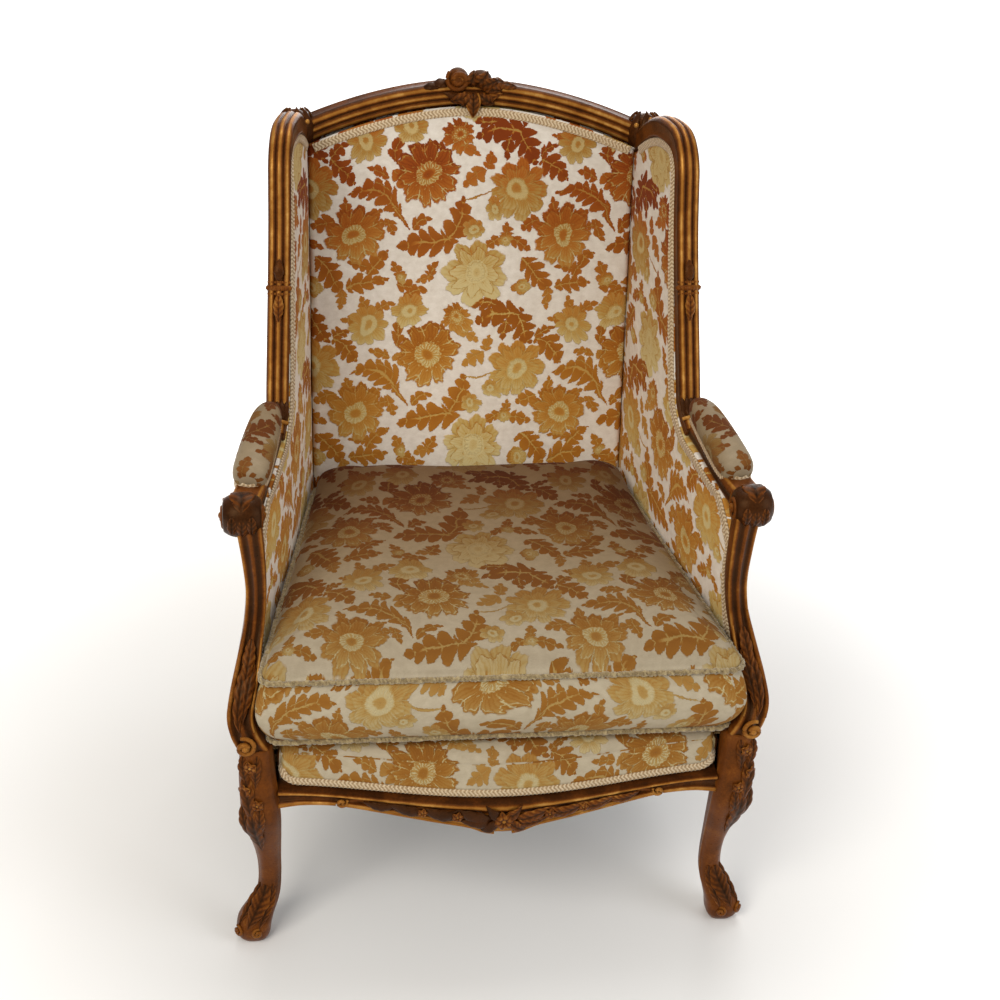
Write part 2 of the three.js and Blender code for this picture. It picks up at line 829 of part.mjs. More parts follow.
const front_bar = loft(apron_rows().map(([x, low]) => front_rail_ring(x, low)));
const front_solid = main_body(join([
  cut(front_bar, [grown_leg, mirrored(grown_leg)]),
  front_tenon.solid, mirrored(front_tenon.solid)]));
const side_solid = main_body(join([
  cut(side_rail(0), [grown_leg, grown_post, grown_rear_rail]),
  side_tenon.solid, side_rear_tenon.solid]));
const rear_solid = main_body(join([
  cut(rear_rail(0), [grown_post, mirrored(grown_post)]),
  rear_tenon.solid, mirrored(rear_tenon.solid)]));
const crest_solid = main_body(join([
  cut(crest_rail(0), [grown_post, mirrored(grown_post), grown_wing, mirrored(grown_wing)]),
  crest_tenon.solid, mirrored(crest_tenon.solid)]));
const crest_grown = crest_rail(clearance);

const lower_rail_half = post_x_at(lower_rail_z);
const lower_solid = main_body(join([
  cut(block([0, post_y(lower_rail_z), lower_rail_z],
    [2 * lower_rail_half, lower_rail_thickness, lower_rail_height]), [grown_post, mirrored(grown_post)]),
  lower_tenon.solid, mirrored(lower_tenon.solid)]));

// Side tack rail, between the support and the post just over the seat rail
const tack_gap = 12;
const tack_rear_share = 0.72;
const tack_front_share = 0.77;
const tack_out = pad_thickness + clearance + tack_rail_thickness / 2;

function tack_rail(grow) {
  const z = rail_top + tack_gap + tack_rail_height / 2;
  const rows = [tack_rear_share * half_depth, skin_turn(z), -tack_front_share * half_depth]
    .map((y) => [skin_x(y, z) + tack_out, y, z, 0, 0]);
  const ring = () => [
    [tack_rail_thickness / 2 + grow, -tack_rail_height / 2 - grow],
    [tack_rail_thickness / 2 + grow, tack_rail_height / 2 + grow],
    [-tack_rail_thickness / 2 - grow, tack_rail_height / 2 + grow],
    [-tack_rail_thickness / 2 - grow, -tack_rail_height / 2 - grow],
  ];
  return sweep(rows, sideways, ring);
}

const tack_solid = main_body(cut(tack_rail(0), [grown_leg, grown_post, grown_support]));

// Corner blocks, three-cornered, glued in the angles of the seat frame
const block_leg = 62;
const block_height = 40;
const block_near_share = 0.3;
const block_far_share = 0.86;

function corner_block(corner_x, corner_y, toward_y) {
  const z = leg_height + clearance;
  return plan_prism([
    [corner_x, corner_y],
    [corner_x - block_leg, corner_y],
    [corner_x - block_leg * block_far_share, corner_y + toward_y * block_leg * block_near_share],
    [corner_x - block_leg * block_near_share, corner_y + toward_y * block_leg * block_far_share],
    [corner_x, corner_y + toward_y * block_leg],
  ], z, z + block_height);
}

const front_block = main_body(cut(
  corner_block(leg_x, -front_rear_line + clearance, 1), [grown_leg, grown_side_rail]));
const rear_block = main_body(cut(
  corner_block(post_x, post_line - rear_rail_thickness / 2 - clearance, -1),
  [grown_post, grown_side_rail, side_rear_tenon.pocket]));

// Panels lie on the side's own plane: the outline runs along the middle of the timber round them
function timber_line(table, from, to) {
  return table.slice(from, to).map(([, along, up]) => [along * half_depth, level(up)]);
}

const pad_foot = rail_top + clearance + hessian_thickness + clearance;
const pad_front_share = -0.772;
const lower_front = [pad_front_share * half_depth, pad_foot];
const post_front_share = 0.62;

function post_front(z) {
  return post_y(z) - post_front_share * post_width;
}

const lower_rear = [post_front(pad_foot), pad_foot];
const upper_rear = [post_front(wing_z), wing_z];

const side_outline = [
  lower_rear,
  upper_rear,
  ...timber_line(wing_share, 1, wing_share.length),
  ...timber_line(arm_share, 4, arm_share.length),
  ...timber_line(support_share, 0, support_share.length - 1),
  lower_front,
];
const wing_outline = [
  [post_front(arm_z), arm_z],
  upper_rear,
  ...timber_line(wing_share, 1, wing_share.length),
  ...timber_line(arm_share, 1, 3).reverse(),
];
const arm_outline = [
  lower_rear,
  [post_front(arm_z), arm_z],
  ...timber_line(arm_share, 1, arm_share.length),
  ...timber_line(support_share, 0, support_share.length - 1),
  lower_front,
];

// A panel over an outline, between two distances out from the side's plane
function side_panel(outline, inner, outer, across, down) {
  const all_y = outline.map(([y]) => y);
  const all_z = outline.map(([, z]) => z);
  const [y_low, y_high] = [Math.min(...all_y), Math.max(...all_y)];
  const [z_low, z_high] = [Math.min(...all_z), Math.max(...all_z)];
  const surface = (out) => (u, v) => {
    const y = y_low - clearance + u * (y_high - y_low + 2 * clearance);
    const z = z_low - clearance + v * (z_high - z_low + 2 * clearance);
    return new THREE.Vector3(skin_x(y, z) + out(y, z), y, z);
  };
  return slab(surface(inner), surface(outer), across, down)
    .intersect(side_prism(outline, 0, 2 * side_half));
}

// The inside panel swells a little between its edges, and sinks to the seam at the back
const swell_front_share = -0.6;

function swell(y, z) {
  const seam = pad_y(z) - pad_seam_set_back;
  const front = swell_front_share * half_depth;
  const along = Math.min(1, Math.max(0, (y - front) / (seam - front)));
  const up = Math.min(1, Math.max(0, (z - pad_foot) / (shoulder_height - pad_foot)));
  return Math.sin(Math.PI * along) * Math.sin(Math.PI * up);
}

function pad_inner(y, z) {
  return -side_crown * swell(y, z);
}

const cover_turn_level_share = 2.7;

function cover_inner(y, z) {
  const turn = level(cover_turn_level_share);
  const share = Math.min(1, Math.max(0, (z - rail_top) / (turn - rail_top)));
  return cover_low_out + (cover_high_out - cover_low_out) * share;
}

const frame_grown = [grown_leg, grown_post, grown_support, grown_arm, grown_wing, grown_side_rail];
const tack_grown = tack_rail(clearance);
const pad_neighbours = [grown_leg, grown_support, grown_arm, grown_wing, crest_grown, tack_grown];
const side_pad_solid = main_body(cut(
  side_panel(side_outline, pad_inner, () => pad_thickness, 7, 9), pad_neighbours));
const wing_cover_solid = main_body(cut(
  side_panel(wing_outline, () => wing_cover_out, () => wing_cover_out + cover_thickness, 4, 1),
  frame_grown));
const arm_cover_solid = main_body(cut(
  side_panel(arm_outline, cover_inner, (y, z) => cover_inner(y, z) + cover_thickness, 7, 5),
  [...frame_grown, tack_grown]));

// Arm pad: a stuffed roll on the arm rail
const arm_pad_share = [
  [0.56, 0.034, 3.148, 0.36, 0.4],
  [0.58, 0.024, 3.152, 0.68, 0.72],
  [0.60, 0.000, 3.155, 0.94, 0.92],
  [0.62, -0.060, 3.150, 1.15, 1.05],
  [0.62, -0.170, 3.130, 1.30, 1.12],
  [0.62, -0.290, 3.105, 1.36, 1.16],
  [0.62, -0.352, 3.094, 1.28, 1.06],
  [0.62, -0.381, 3.088, 1.06, 0.86],
  [0.62, -0.395, 3.086, 0.70, 0.56],
];

const arm_pad_solid = main_body(cut(
  sweep(side_rows(arm_pad_share, rail_width, rail_width), sideways, rounded(0, 12, 2.3)),
  [grown_arm, grown_wing, grown_support]));

// Back pad, from the seat to the crest, between the posts
const back_foot = pad_foot;
const back_head = shoulder_height + crest_rise;

function back_front(u, v) {
  const x = (2 * u - 1) * back_pad_half;
  const z = back_foot + v * (back_head - back_foot);
  const across = 1 - (2 * u - 1) ** 4;
  const crown = back_crown * across * Math.sin(Math.PI * v) ** 0.7;
  return new THREE.Vector3(x, pad_y(z) + bow_y(x, z) - crown, z);
}

function back_rear(behind) {
  return (u, v) => {
    const x = (2 * u - 1) * back_pad_half;
    const z = back_foot + v * (back_head - back_foot);
    return new THREE.Vector3(x, post_y(z) + bow_y(x, z) + behind, z);
  };
}

// Trims the back's sheets under the crest's own arch
function under_crest() {
  const outline = [[-back_pad_half, back_foot - overrun]];
  for (let step = 0; step <= crest_steps; step += 1) {
    const [x, , z] = crest_spot(2 * step / crest_steps - 1);
    outline.push([Math.sign(x) * Math.min(Math.abs(x), back_pad_half), z]);
  }
  outline.push([back_pad_half, back_foot - overrun]);
  return loft([0, half_depth + overrun].map((y) => outline.map(([x, z]) => new THREE.Vector3(x, y, z))));
}

// Everything between the inner faces of the two posts
function between_posts() {
  const inner = (z) => post_x_at(z) - post_wide_share * post_width / 2 - clearance;
  const [low, high] = [rail_top, back_head];
  const outline = [[-inner(low), low], [inner(low), low], [inner(high), high], [-inner(high), high]];
  return loft([0, half_depth + overrun].map((y) => outline.map(([x, z]) => new THREE.Vector3(x, y, z))));
}

const lower_grown = block([0, post_y(lower_rail_z), lower_rail_z],
  [2 * lower_rail_half, lower_rail_thickness, lower_rail_height], clearance);
const crest_trim = under_crest();
const back_steps_across = 6;
const back_steps_up = 4;
const both_posts = [grown_post, mirrored(grown_post)];
const back_pad_solid = main_body(cut(
  slab(back_front, back_rear(-back_pad_behind - lower_rail_thickness / 2), back_steps_across, back_steps_up)
    .intersect(crest_trim),
  [...both_posts, crest_grown, grown_wing, mirrored(grown_wing)]));

const outer_back_solid = main_body(cut(
  slab(back_rear(lower_rail_thickness / 2 + clearance),
    back_rear(lower_rail_thickness / 2 + clearance + cover_thickness), back_steps_across, 3)
    .intersect(crest_trim),
  [...both_posts, crest_grown, lower_grown]));

// Webbing: straps both ways, as the blocks that a thin sheet is cut to
function strap_blocks(half, low, high, columns, rows, block_at) {
  const straps = [];
  for (let step = 1; step <= columns; step += 1) {
    const x = half * (2 * step / (columns + 1) - 1);
    straps.push(block_at(x, (low + high) / 2, web_width, high - low));
  }
  for (let step = 1; step <= rows; step += 1) {
    const along = low + (high - low) * step / (rows + 1);
    straps.push(block_at(0, along, 2 * half, web_width));
  }
  return join(straps);
}

const back_web_near = -back_pad_behind - lower_rail_thickness / 2 + clearance;
const back_web_level_share = 3.87;
const back_web_head = level(back_web_level_share);
const back_straps = strap_blocks(back_pad_half, back_foot, back_web_head, 3, 4, (x, z, wide, high) => (
  block([x, half_depth, z], [wide, half_depth, high])));
const back_web_solid = main_body(cut(
  slab(back_rear(back_web_near), back_rear(back_web_near + web_thickness), back_steps_across, back_steps_up)
    .intersect(back_straps).intersect(between_posts()),
  [lower_grown]));

// Seat webbing under the rails
const web_top = leg_height - clearance;
const seat_web_front = -front_rear_line - lip_thickness / 2;
const seat_web_rear = post_line - lip_thickness / 2;
const seat_web_out_share = 0.2;

function seat_plan(out, front, rear) {
  const corner = (y) => side_x(y, leg_height) + out;
  return [[-corner(-front), -front], [corner(-front), -front], [corner(rear), rear], [-corner(rear), rear]];
}

const both_legs = [grown_leg, mirrored(grown_leg)];
const both_side_rails = [grown_side_rail, mirrored(grown_side_rail)];
const seat_straps = strap_blocks(front_half(), seat_web_front, seat_web_rear, 4, 4, (x, y, wide, deep) => (
  block([x, y, leg_height], [wide, deep, leg_height])));
const seat_web_sheet = plan_prism(
  seat_plan(seat_web_out_share * rail_width, -seat_web_front, seat_web_rear),
  web_top - web_thickness, web_top);
const seat_web_solid = main_body(cut(seat_web_sheet.intersect(seat_straps),
  [...both_legs, ...both_posts, ...both_side_rails]));

// Dust cover below the webbing
const dust_top = web_top - web_thickness - clearance;
const dust_solid = main_body(cut(
  plan_prism(seat_plan(0, front_rear_line + lip_thickness, post_line - lip_thickness / 2),
    dust_top - dust_thickness, dust_top),
  [...both_legs, ...both_posts, ...both_side_rails]));

// Hessian stretched over the seat rails
const hessian_low = rail_top + clearance;
const hessian_solid = main_body(cut(
  plan_prism(seat_plan(0, front_rear_line + lip_thickness / 2, pad_line - clearance),
    hessian_low, hessian_low + hessian_thickness),
  [...both_legs, ...both_posts]));

// Seat deck with the border that rolls over the front rail
const border_share = [
  [0, 0],
  [0.12, 0.35],
  [0.42, 0.72],
  [1, 0.97],
  [1.9, 1.06],
];
const border_roll = 26;
const deck_low = pad_foot;
const deck_top = deck_low + deck_thickness;

function deck_ring(x) {
  const front = front_y(x);
  const low = gimp_line(x) + clearance;
  const ring = border_share.map(([back, up]) => (
    new THREE.Vector3(x, front + border_set_back + back * border_roll, low + up * (deck_top - low))));
  const crown = deck_crown * (1 - (x / front_half()) ** 2);
  const middle = (pad_line - front_line) / 2;
  ring.push(new THREE.Vector3(x, middle, deck_top + crown));
  ring.push(new THREE.Vector3(x, pad_line + overrun, deck_top));
  ring.push(new THREE.Vector3(x, pad_line + overrun, deck_low));
  ring.push(new THREE.Vector3(x, front + rebate_set_back - clearance, deck_low));
  ring.push(new THREE.Vector3(x, front + rebate_set_back - clearance, low));
  return ring;
}

const deck_spots = apron_rows().map(([x]) => x);
const deck_rings = [-front_half() - clearance, ...deck_spots, front_half() + clearance].map(deck_ring);

function inside_plan(set_in, front, rear) {
  const z = deck_low;
  const half = [-front, skin_turn(z), rear].map((y) => [skin_x(y, z) - set_in, y]);
  return half.concat(half.toReversed().map(([x, y]) => [-x, y]));
}

const deck_solid = main_body(cut(
  loft(deck_rings).intersect(plan_prism(
    inside_plan(deck_set_in, half_depth, pad_line - clearance),
    leg_height - overrun, deck_top + overrun)),
  [...both_legs, grown_support, mirrored(grown_support)]));

// Springs between the webbing and the hessian
function seat_spring(x, y) {
  const low = web_top + clearance * 2 + spring_wire / 2;
  const high = hessian_low - clearance - spring_wire / 2;
  const steps = spring_turns * spring_turn_steps;
  const rings = [];
  for (let step = 0; step <= steps; step += 1) {
    const share = step / steps;
    const angle = 2 * Math.PI * step / spring_turn_steps;
    const radius = spring_waist + (spring_radius - spring_waist) * (2 * share - 1) ** 2;
    const middle = new THREE.Vector3(
      x + radius * Math.cos(angle), y + radius * Math.sin(angle), low + share * (high - low));
    const outward = new THREE.Vector3(Math.cos(angle), Math.sin(angle), 0);
    rings.push(Array.from({ length: spring_side_count }, (_, side) => {
      const turn = 2 * Math.PI * (side + 0.25) / spring_side_count;
      return middle.clone()
        .addScaledVector(outward, Math.cos(turn) * spring_wire / 2)
        .addScaledVector(upward, Math.sin(turn) * spring_wire / 2);
    }));
  }
  return loft(rings);
}

// Loose cushion: rings round its plan, from the underside over the welts to the crown
const cushion_front = front_line - cushion_set_back;
const cushion_rear = pad_line - cushion_back_gap;
const cushion_front_half = skin_x(-cushion_front, rail_top) - cushion_front_gap;
const cushion_rear_half = skin_x(cushion_rear, rail_top) - cushion_rear_gap;
const cushion_low = deck_top + deck_crown + clearance;
const cushion_share = [
  [0.55, 0.0, 0],
  [0.88, 0.005, 0],
  [0.94, 0.03, 0.1],
  [0.97, 0.10, 0.35],
  [0.965, 0.14, 0.15],
  [0.995, 0.35, 0.85],
  [1.005, 0.60, 1],
  [0.995, 0.83, 0.75],
  [0.985, 0.96, 0.1],
  [0.992, 1.0, 0.35],
];
const cushion_top_share = [
  [0.965, 0.16],
  [0.88, 0.42],
  [0.74, 0.68],
  [0.5, 0.9],
  [0.25, 0.985],
];
const cushion_side_steps = 6;
const cushion_corner_steps = 4;

// The plan's outline, walked from the middle of the front, with round corners
function cushion_outline() {
  const corners = [
    [cushion_front_half, -cushion_front],
    [cushion_rear_half, cushion_rear],
    [-cushion_rear_half, cushion_rear],
    [-cushion_front_half, -cushion_front],
  ];
  const outline = [];
  corners.forEach(([x, y], index) => {
    const before = corners[(index + 3) % 4];
    const after = corners[(index + 1) % 4];
    const here = new THREE.Vector2(x, y);
    const back = new THREE.Vector2(...before).sub(here).setLength(cushion_corner).add(here);
    const ahead = new THREE.Vector2(...after).sub(here).setLength(cushion_corner).add(here);
    outline.push(...new THREE.QuadraticBezierCurve(back, here, ahead).getPoints(cushion_corner_steps));
    const run = new THREE.Vector2(...after).sub(ahead);
    const stop = run.length() - cushion_corner;
    for (let step = 1; step < cushion_side_steps; step += 1) {
      outline.push(ahead.clone().add(run.clone().setLength(stop * step / cushion_side_steps)));
    }
  });
  return outline;
}

function seat_cushion() {
  const outline = cushion_outline();
  const middle = new THREE.Vector2(0, (cushion_rear - cushion_front) / 2);
  const ring_at = (share, z, bulge) => outline.map((spot) => {
    const arm = spot.clone().sub(middle);
    const place = arm.clone().multiplyScalar(share).add(middle);
    const front_share = Math.max(0, -arm.y / (cushion_front + middle.y));
    const flare = bulge * cushion_flare / cushion_bulge * share;
    place.y -= front_share ** 3 * bulge;
    place.x += Math.sign(arm.x) * front_share ** 16 * flare;
    return new THREE.Vector3(place.x, place.y, z);
  });
  const rings = cushion_share.map(([share, up, bulge]) => (
    ring_at(share, cushion_low + up * cushion_side, bulge * cushion_bulge)));
  for (const [share, up] of cushion_top_share) {
    rings.push(ring_at(share, cushion_low + cushion_side + up * cushion_crown, 0));
  }
  return loft(rings);
}

// The chair, put together
const chair = new THREE.Group();

function add(name, solid, look) {
  const raw = solid.getMesh();
  const geometry = new THREE.BufferGeometry();
  const places = new Float32Array(raw.triVerts.length * 3);
  raw.triVerts.forEach((vertex, index) => {
    for (let axis = 0; axis < 3; axis += 1) {
      places[index * 3 + axis] = raw.vertProperties[vertex * raw.numProp + axis];
    }
  });
  geometry.setAttribute('position', new THREE.BufferAttribute(places, 3));
  geometry.computeVertexNormals();
  const mesh = new THREE.Mesh(geometry, new THREE.MeshStandardMaterial(look));
  mesh.name = name;
  chair.add(mesh);
}

function add_pair(name, solid, look) {
  add(`right_${name}`, solid, look);
  add(`left_${name}`, mirrored(solid), look);
}

add('crest_rail', crest_solid, gilt);
add_pair('back_post', post_solid, gilt);
add_pair('wing_rail', wing_solid, gilt);
add_pair('arm_rail', arm_solid, gilt);
add_pair('arm_support', support_solid, gilt);
add_pair('front_leg', leg_solid, gilt);
add('front_seat_rail', front_solid, gilt);
add_pair('side_seat_rail', side_solid, gilt);
add('rear_seat_rail', rear_solid, gilt);
add('lower_back_rail', lower_solid, beech);
add_pair('side_tack_rail', tack_solid, beech);
add_pair('front_corner_block', front_block, beech);
add_pair('rear_corner_block', rear_block, beech);
add('seat_webbing', seat_web_solid, jute);
add('seat_hessian', hessian_solid, jute);
add('seat_deck', deck_solid, velvet);
add('dust_cover', dust_solid, cambric);
add('back_webbing', back_web_solid, jute);
add('inside_back_pad', back_pad_solid, velvet);
add('outside_back_cover', outer_back_solid, velvet);
add_pair('inside_side_pad', side_pad_solid, velvet);
add_pair('outside_wing_cover', wing_cover_solid, velvet);
add_pair('outside_arm_cover', arm_cover_solid, velvet);
add_pair('arm_pad', arm_pad_solid, velvet);
for (let row = -1; row <= 1; row += 1) {
  for (let step = -1; step <= 1; step += 1) {
    const number = (row + 1) * 3 + step + 2;
    const y = row * spring_spacing_depth - spring_centre;
    add(`seat_spring_${number}`, seat_spring(step * spring_spacing_side, y), steel);
  }
}
add('seat_cushion', seat_cushion(), worn_velvet);

// The floor's middle under the chair is the origin
const bounds = new THREE.Box3().setFromObject(chair);
chair.position.set(0, -(bounds.min.y + bounds.max.y) / 2, -bounds.min.z);

export default chair;
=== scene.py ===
import math

import bpy
import numpy as np
from mathutils import Matrix, Vector


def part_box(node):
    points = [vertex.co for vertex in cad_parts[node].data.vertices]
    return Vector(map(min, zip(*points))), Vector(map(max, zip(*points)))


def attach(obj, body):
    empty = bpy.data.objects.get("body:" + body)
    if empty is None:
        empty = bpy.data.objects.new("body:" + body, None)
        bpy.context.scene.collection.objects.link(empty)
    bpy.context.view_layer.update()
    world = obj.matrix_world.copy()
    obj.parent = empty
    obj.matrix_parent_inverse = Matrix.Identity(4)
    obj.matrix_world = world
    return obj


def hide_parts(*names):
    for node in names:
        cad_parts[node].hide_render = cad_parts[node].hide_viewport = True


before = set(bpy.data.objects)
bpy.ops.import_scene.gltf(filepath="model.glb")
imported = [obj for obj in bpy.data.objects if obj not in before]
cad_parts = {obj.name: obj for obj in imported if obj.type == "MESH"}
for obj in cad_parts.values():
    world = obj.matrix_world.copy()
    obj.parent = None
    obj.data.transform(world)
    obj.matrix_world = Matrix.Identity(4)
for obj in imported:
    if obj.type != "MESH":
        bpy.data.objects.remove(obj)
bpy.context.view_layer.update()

# A carved and gilded wing bergere. Shapes are worked out in millimetres on the chair's own lines, the same
# as the frame's: +X is the viewer's right, -Y the front, +Z up. They go to metres when a piece is made.
rear_rail_low, rear_rail_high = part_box("rear_seat_rail")

# Heights, in millimetres above the floor
RAIL_FOOT = 266.0
RAIL_TOP = 322.0
SEAT_LINE = 323.8
ARM_HEIGHT = 620.0
SHOULDER = 985.0
LEVELS = np.array([0, RAIL_FOOT, RAIL_TOP, ARM_HEIGHT, SHOULDER])
# Places along the depth: the posts and the back pad at the rail's top, how far they have raked back at the
# shoulder, the back's bow, and the front rail's face and rear
POST_FOOT = 281.0
POST_RAKE = 65.0
PAD_FOOT = 205.0
PAD_RAKE = 122.0
BACK_BOW = 25.0
FRONT_FACE_Y = -327.0
FRONT_REAR_Y = -282.0
FRONT_BOW = 38.0
HALF_DEPTH = 380.0
CENTRE_Y = 1000 * (rear_rail_low[1] + rear_rail_high[1]) / 2 - POST_FOOT
# Widths of the members
RAIL = 33.0
ARM = 30.0
LEG = 50.0
POST = 36.0
SUPPORT = 32.0
WING_DEPTH = 31.0
# The side's plane draws in by this much to the rear over half the depth, and the posts stand wider than it
SIDE_TAPER = 66.0
POST_REACH = 1.121
SIDEWAYS = np.array([1.0, 0, 0])
UPWARD = np.array([0, 0, 1.0])
FORWARD = np.array([0, -1.0, 0])


# The chair's lines
def level(share):
    """Height at a share, straight between the floor, rail foot, rail top, arm and shoulder."""
    share = np.asarray(share, float)
    step = np.clip(np.floor(share), 0, 3).astype(int)
    return LEVELS[step] + (share - step) * (LEVELS[step + 1] - LEVELS[step])


def side_x(y, z):
    """Half width of the seat's side: wider with height, narrower to the rear, both in a straight line."""
    return 262 + 31 * z / SHOULDER - SIDE_TAPER * y / HALF_DEPTH


def lean(z):
    """0 at the rail's top and 1 at the shoulder."""
    return (z - RAIL_TOP) / (SHOULDER - RAIL_TOP)


def post_y(z):
    """The back posts' straight rake."""
    return POST_FOOT + POST_RAKE * lean(z)


def pad_y(z):
    """The back pad's straight rake."""
    return PAD_FOOT + PAD_RAKE * lean(z)


BACK_HALF = side_x(POST_FOOT, RAIL_TOP) + 20.7


def bow_y(x, z):
    """The back's bow to the rear: a parabola over its width that grows with height."""
    across = np.minimum(1, np.abs(x) / BACK_HALF)
    return BACK_BOW * np.maximum(0, lean(z)) * (1 - across ** 2)


def skin_x(y, z):
    """The side panels' skin: the side's own plane, eased into a straight run beside the back pad."""
    slope = side_x(y, z) + 4
    straight = BACK_HALF + 0.3
    return straight + 3 * np.logaddexp(0, (slope - straight) / 3)


def side_rows(table, width, depth):
    """Rows [out, along, level, width, depth] of shares to [x, y, z, width, depth] on the chair's side."""
    out, along, up, wide, deep = np.array(table, float).T
    y = along * HALF_DEPTH
    z = level(up)
    return np.stack([side_x(y, z) + out * RAIL, y, z, wide * width, deep * depth], axis=1)


def leg_rows(table, width):
    """The same for legs, whose first share is of the side's own half width."""
    across, along, up, wide, deep = np.array(table, float).T
    y = along * HALF_DEPTH
    z = level(up)
    return np.stack([across * side_x(y, z), y, z, wide * width, deep * width], axis=1)


def smooth_rows(rows, spacing):
    """Catmull-Rom curve through the rows, set out again at an even spacing along its length."""
    rows = np.asarray(rows, float)
    last = len(rows) - 1
    t = np.linspace(0, last, 30 * last + 1)
    i = np.minimum(t.astype(int), last - 1)
    f = (t - i)[:, None]
    a, b = rows[np.maximum(i - 1, 0)], rows[i]
    c, d = rows[i + 1], rows[np.minimum(i + 2, last)]
    fine = b + 0.5 * f * (c - a + f * (2 * a - 5 * b + 4 * c - d + f * (d - a + 3 * (b - c))))
    run = run_along(fine[:, :3])
    count = max(3, int(round(run[-1] / spacing)))
    at = np.linspace(0, run[-1], count + 1)
    return np.stack([np.interp(at, run, column) for column in fine.T], axis=1)


def together(*values):
    """Coordinates of any shapes that fit each other, as points along a last axis."""
    return np.stack(np.broadcast_arrays(*values), axis=-1)


def run_along(points):
    """The length of a line up to each of its points."""
    return np.concatenate([[0], np.cumsum(np.linalg.norm(np.diff(points, axis=0), axis=1))])


def unit(v):
    """Each vector over its length."""
    return v / np.maximum(np.linalg.norm(v, axis=-1, keepdims=True), 1e-9)


def bump_at(x, middle, width):
    """A bell curve of height 1."""
    return np.exp(-((x - middle) / width) ** 2)


def ease(x, low, high):
    """0 below low, 1 above high and a smooth S between."""
    t = np.clip((x - low) / (high - low), 0, 1)
    return t * t * (3 - 2 * t)


# Mesh parts
class Part:
    """Points in millimetres, faces of 3 or 4 corners, a relief value a point and a UV pair a face corner."""

    def __init__(self, points, faces, corner_uv, relief=None):
        self.points = np.asarray(points, float)
        self.faces = faces
        self.corner_uv = corner_uv
        self.relief = np.full(len(self.points), 0.5) if relief is None else np.asarray(relief, float)

    def outward(self):
        """Turns the faces round if the signed volume under them is negative."""
        volume = 0.0
        for face in self.faces:
            corner = self.points[face]
            for k in range(1, face.shape[1] - 1):
                volume += np.einsum("ij,ij->", corner[:, 0], np.cross(corner[:, k], corner[:, k + 1]))
        if volume < 0:
            self.faces = [face[:, ::-1] for face in self.faces]
            self.corner_uv = [uv[:, ::-1] for uv in self.corner_uv]
        return self

    def mirrored(self):
        """The same part on the other side of the chair."""
        return Part(self.points * [-1, 1, 1], [face[:, ::-1] for face in self.faces],
                    [uv[:, ::-1] for uv in self.corner_uv], self.relief)


def around_faces(grid):
    """The four neighbours in a grid that make each of its faces, walked round."""
    return np.stack([grid[:-1, :-1], grid[:-1, 1:], grid[1:, 1:], grid[1:, :-1]], axis=2)


def joined(parts):
    """Several closed parts in one mesh."""
    faces, corner_uv, offset = [], [], 0
    for part in parts:
        faces += [face + offset for face in part.faces]
        corner_uv += part.corner_uv
        offset += len(part.points)
    return Part(np.concatenate([p.points for p in parts]), faces, corner_uv,
                np.concatenate([p.relief for p in parts]))


def ring_part(grid, relief=None, uv=None):
    """A closed tube from rings of points: a face between each two neighbours, and a fan to the middle of
    each end ring. uv holds one column more than the ring, so that it closes."""
    n, m = grid.shape[:2]
    points = np.concatenate([grid.reshape(-1, 3), grid[:1].mean(axis=1), grid[-1:].mean(axis=1)])
    index = np.pad(np.arange(n * m).reshape(n, m), ((0, 0), (0, 1)), mode="wrap")
    quads = around_faces(index).reshape(-1, 4)
    if uv is None:
        run = run_along(grid.mean(axis=1))
        girth = np.linalg.norm(np.diff(grid[n // 2], axis=0), axis=1)
        around = np.concatenate([[0], np.cumsum(girth), [girth.sum() + girth.mean()]])
        uv = together(run[:, None], around[None, :]) / 1000
    quad_uv = around_faces(uv).reshape(-1, 4, 2)
    step = np.arange(m)
    turn = (step + 1) % m
    first = np.stack([turn, step, np.full(m, n * m)], axis=1)
    end = np.stack([(n - 1) * m + step, (n - 1) * m + turn, np.full(m, n * m + 1)], axis=1)
    first_uv = np.stack([uv[0, step + 1], uv[0, step], np.broadcast_to(uv[0].mean(0), (m, 2))], axis=1)
    end_uv = np.stack([uv[-1, step], uv[-1, step + 1], np.broadcast_to(uv[-1].mean(0), (m, 2))], axis=1)
    shine = np.full((n, m), 0.5) if relief is None else np.broadcast_to(relief, (n, m))
    shine = np.concatenate([shine.ravel(), [shine[0].mean(), shine[-1].mean()]])
    return Part(points, [quads, first, end], [quad_uv, first_uv, end_uv], shine).outward()


def slab_part(front, back, uv, relief=None):
    """A closed sheet between two grids of points: both faces and a rim of quads round the four edges."""
    n, m = front.shape[:2]
    points = np.concatenate([front.reshape(-1, 3), back.reshape(-1, 3)])
    flat_uv = np.concatenate([uv.reshape(-1, 2)] * 2)
    near = around_faces(np.arange(n * m).reshape(n, m)).reshape(-1, 4)
    far = near[:, ::-1] + n * m
    edge = np.concatenate([np.arange(m), np.arange(1, n) * m + m - 1,
                           (n - 1) * m + np.arange(m - 2, -1, -1), np.arange(n - 2, 0, -1) * m])
    after = np.roll(edge, -1)
    rim = np.stack([after, edge, edge + n * m, after + n * m], axis=1)
    faces = [near, far, rim]
    shine = None if relief is None else np.concatenate([relief.ravel()] * 2)
    return Part(points, faces, [flat_uv[face] for face in faces], shine).outward()


def frames_along(spots, hint):
    """Ahead, across and up at each place of a line: ahead is its slope, across is the hint made square to
    it, and up is square to both."""
    ahead = unit(np.gradient(spots, axis=0))
    hint = np.broadcast_to(hint, ahead.shape)
    across = unit(hint - np.sum(hint * ahead, axis=1, keepdims=True) * ahead)
    return ahead, across, np.cross(ahead, across)


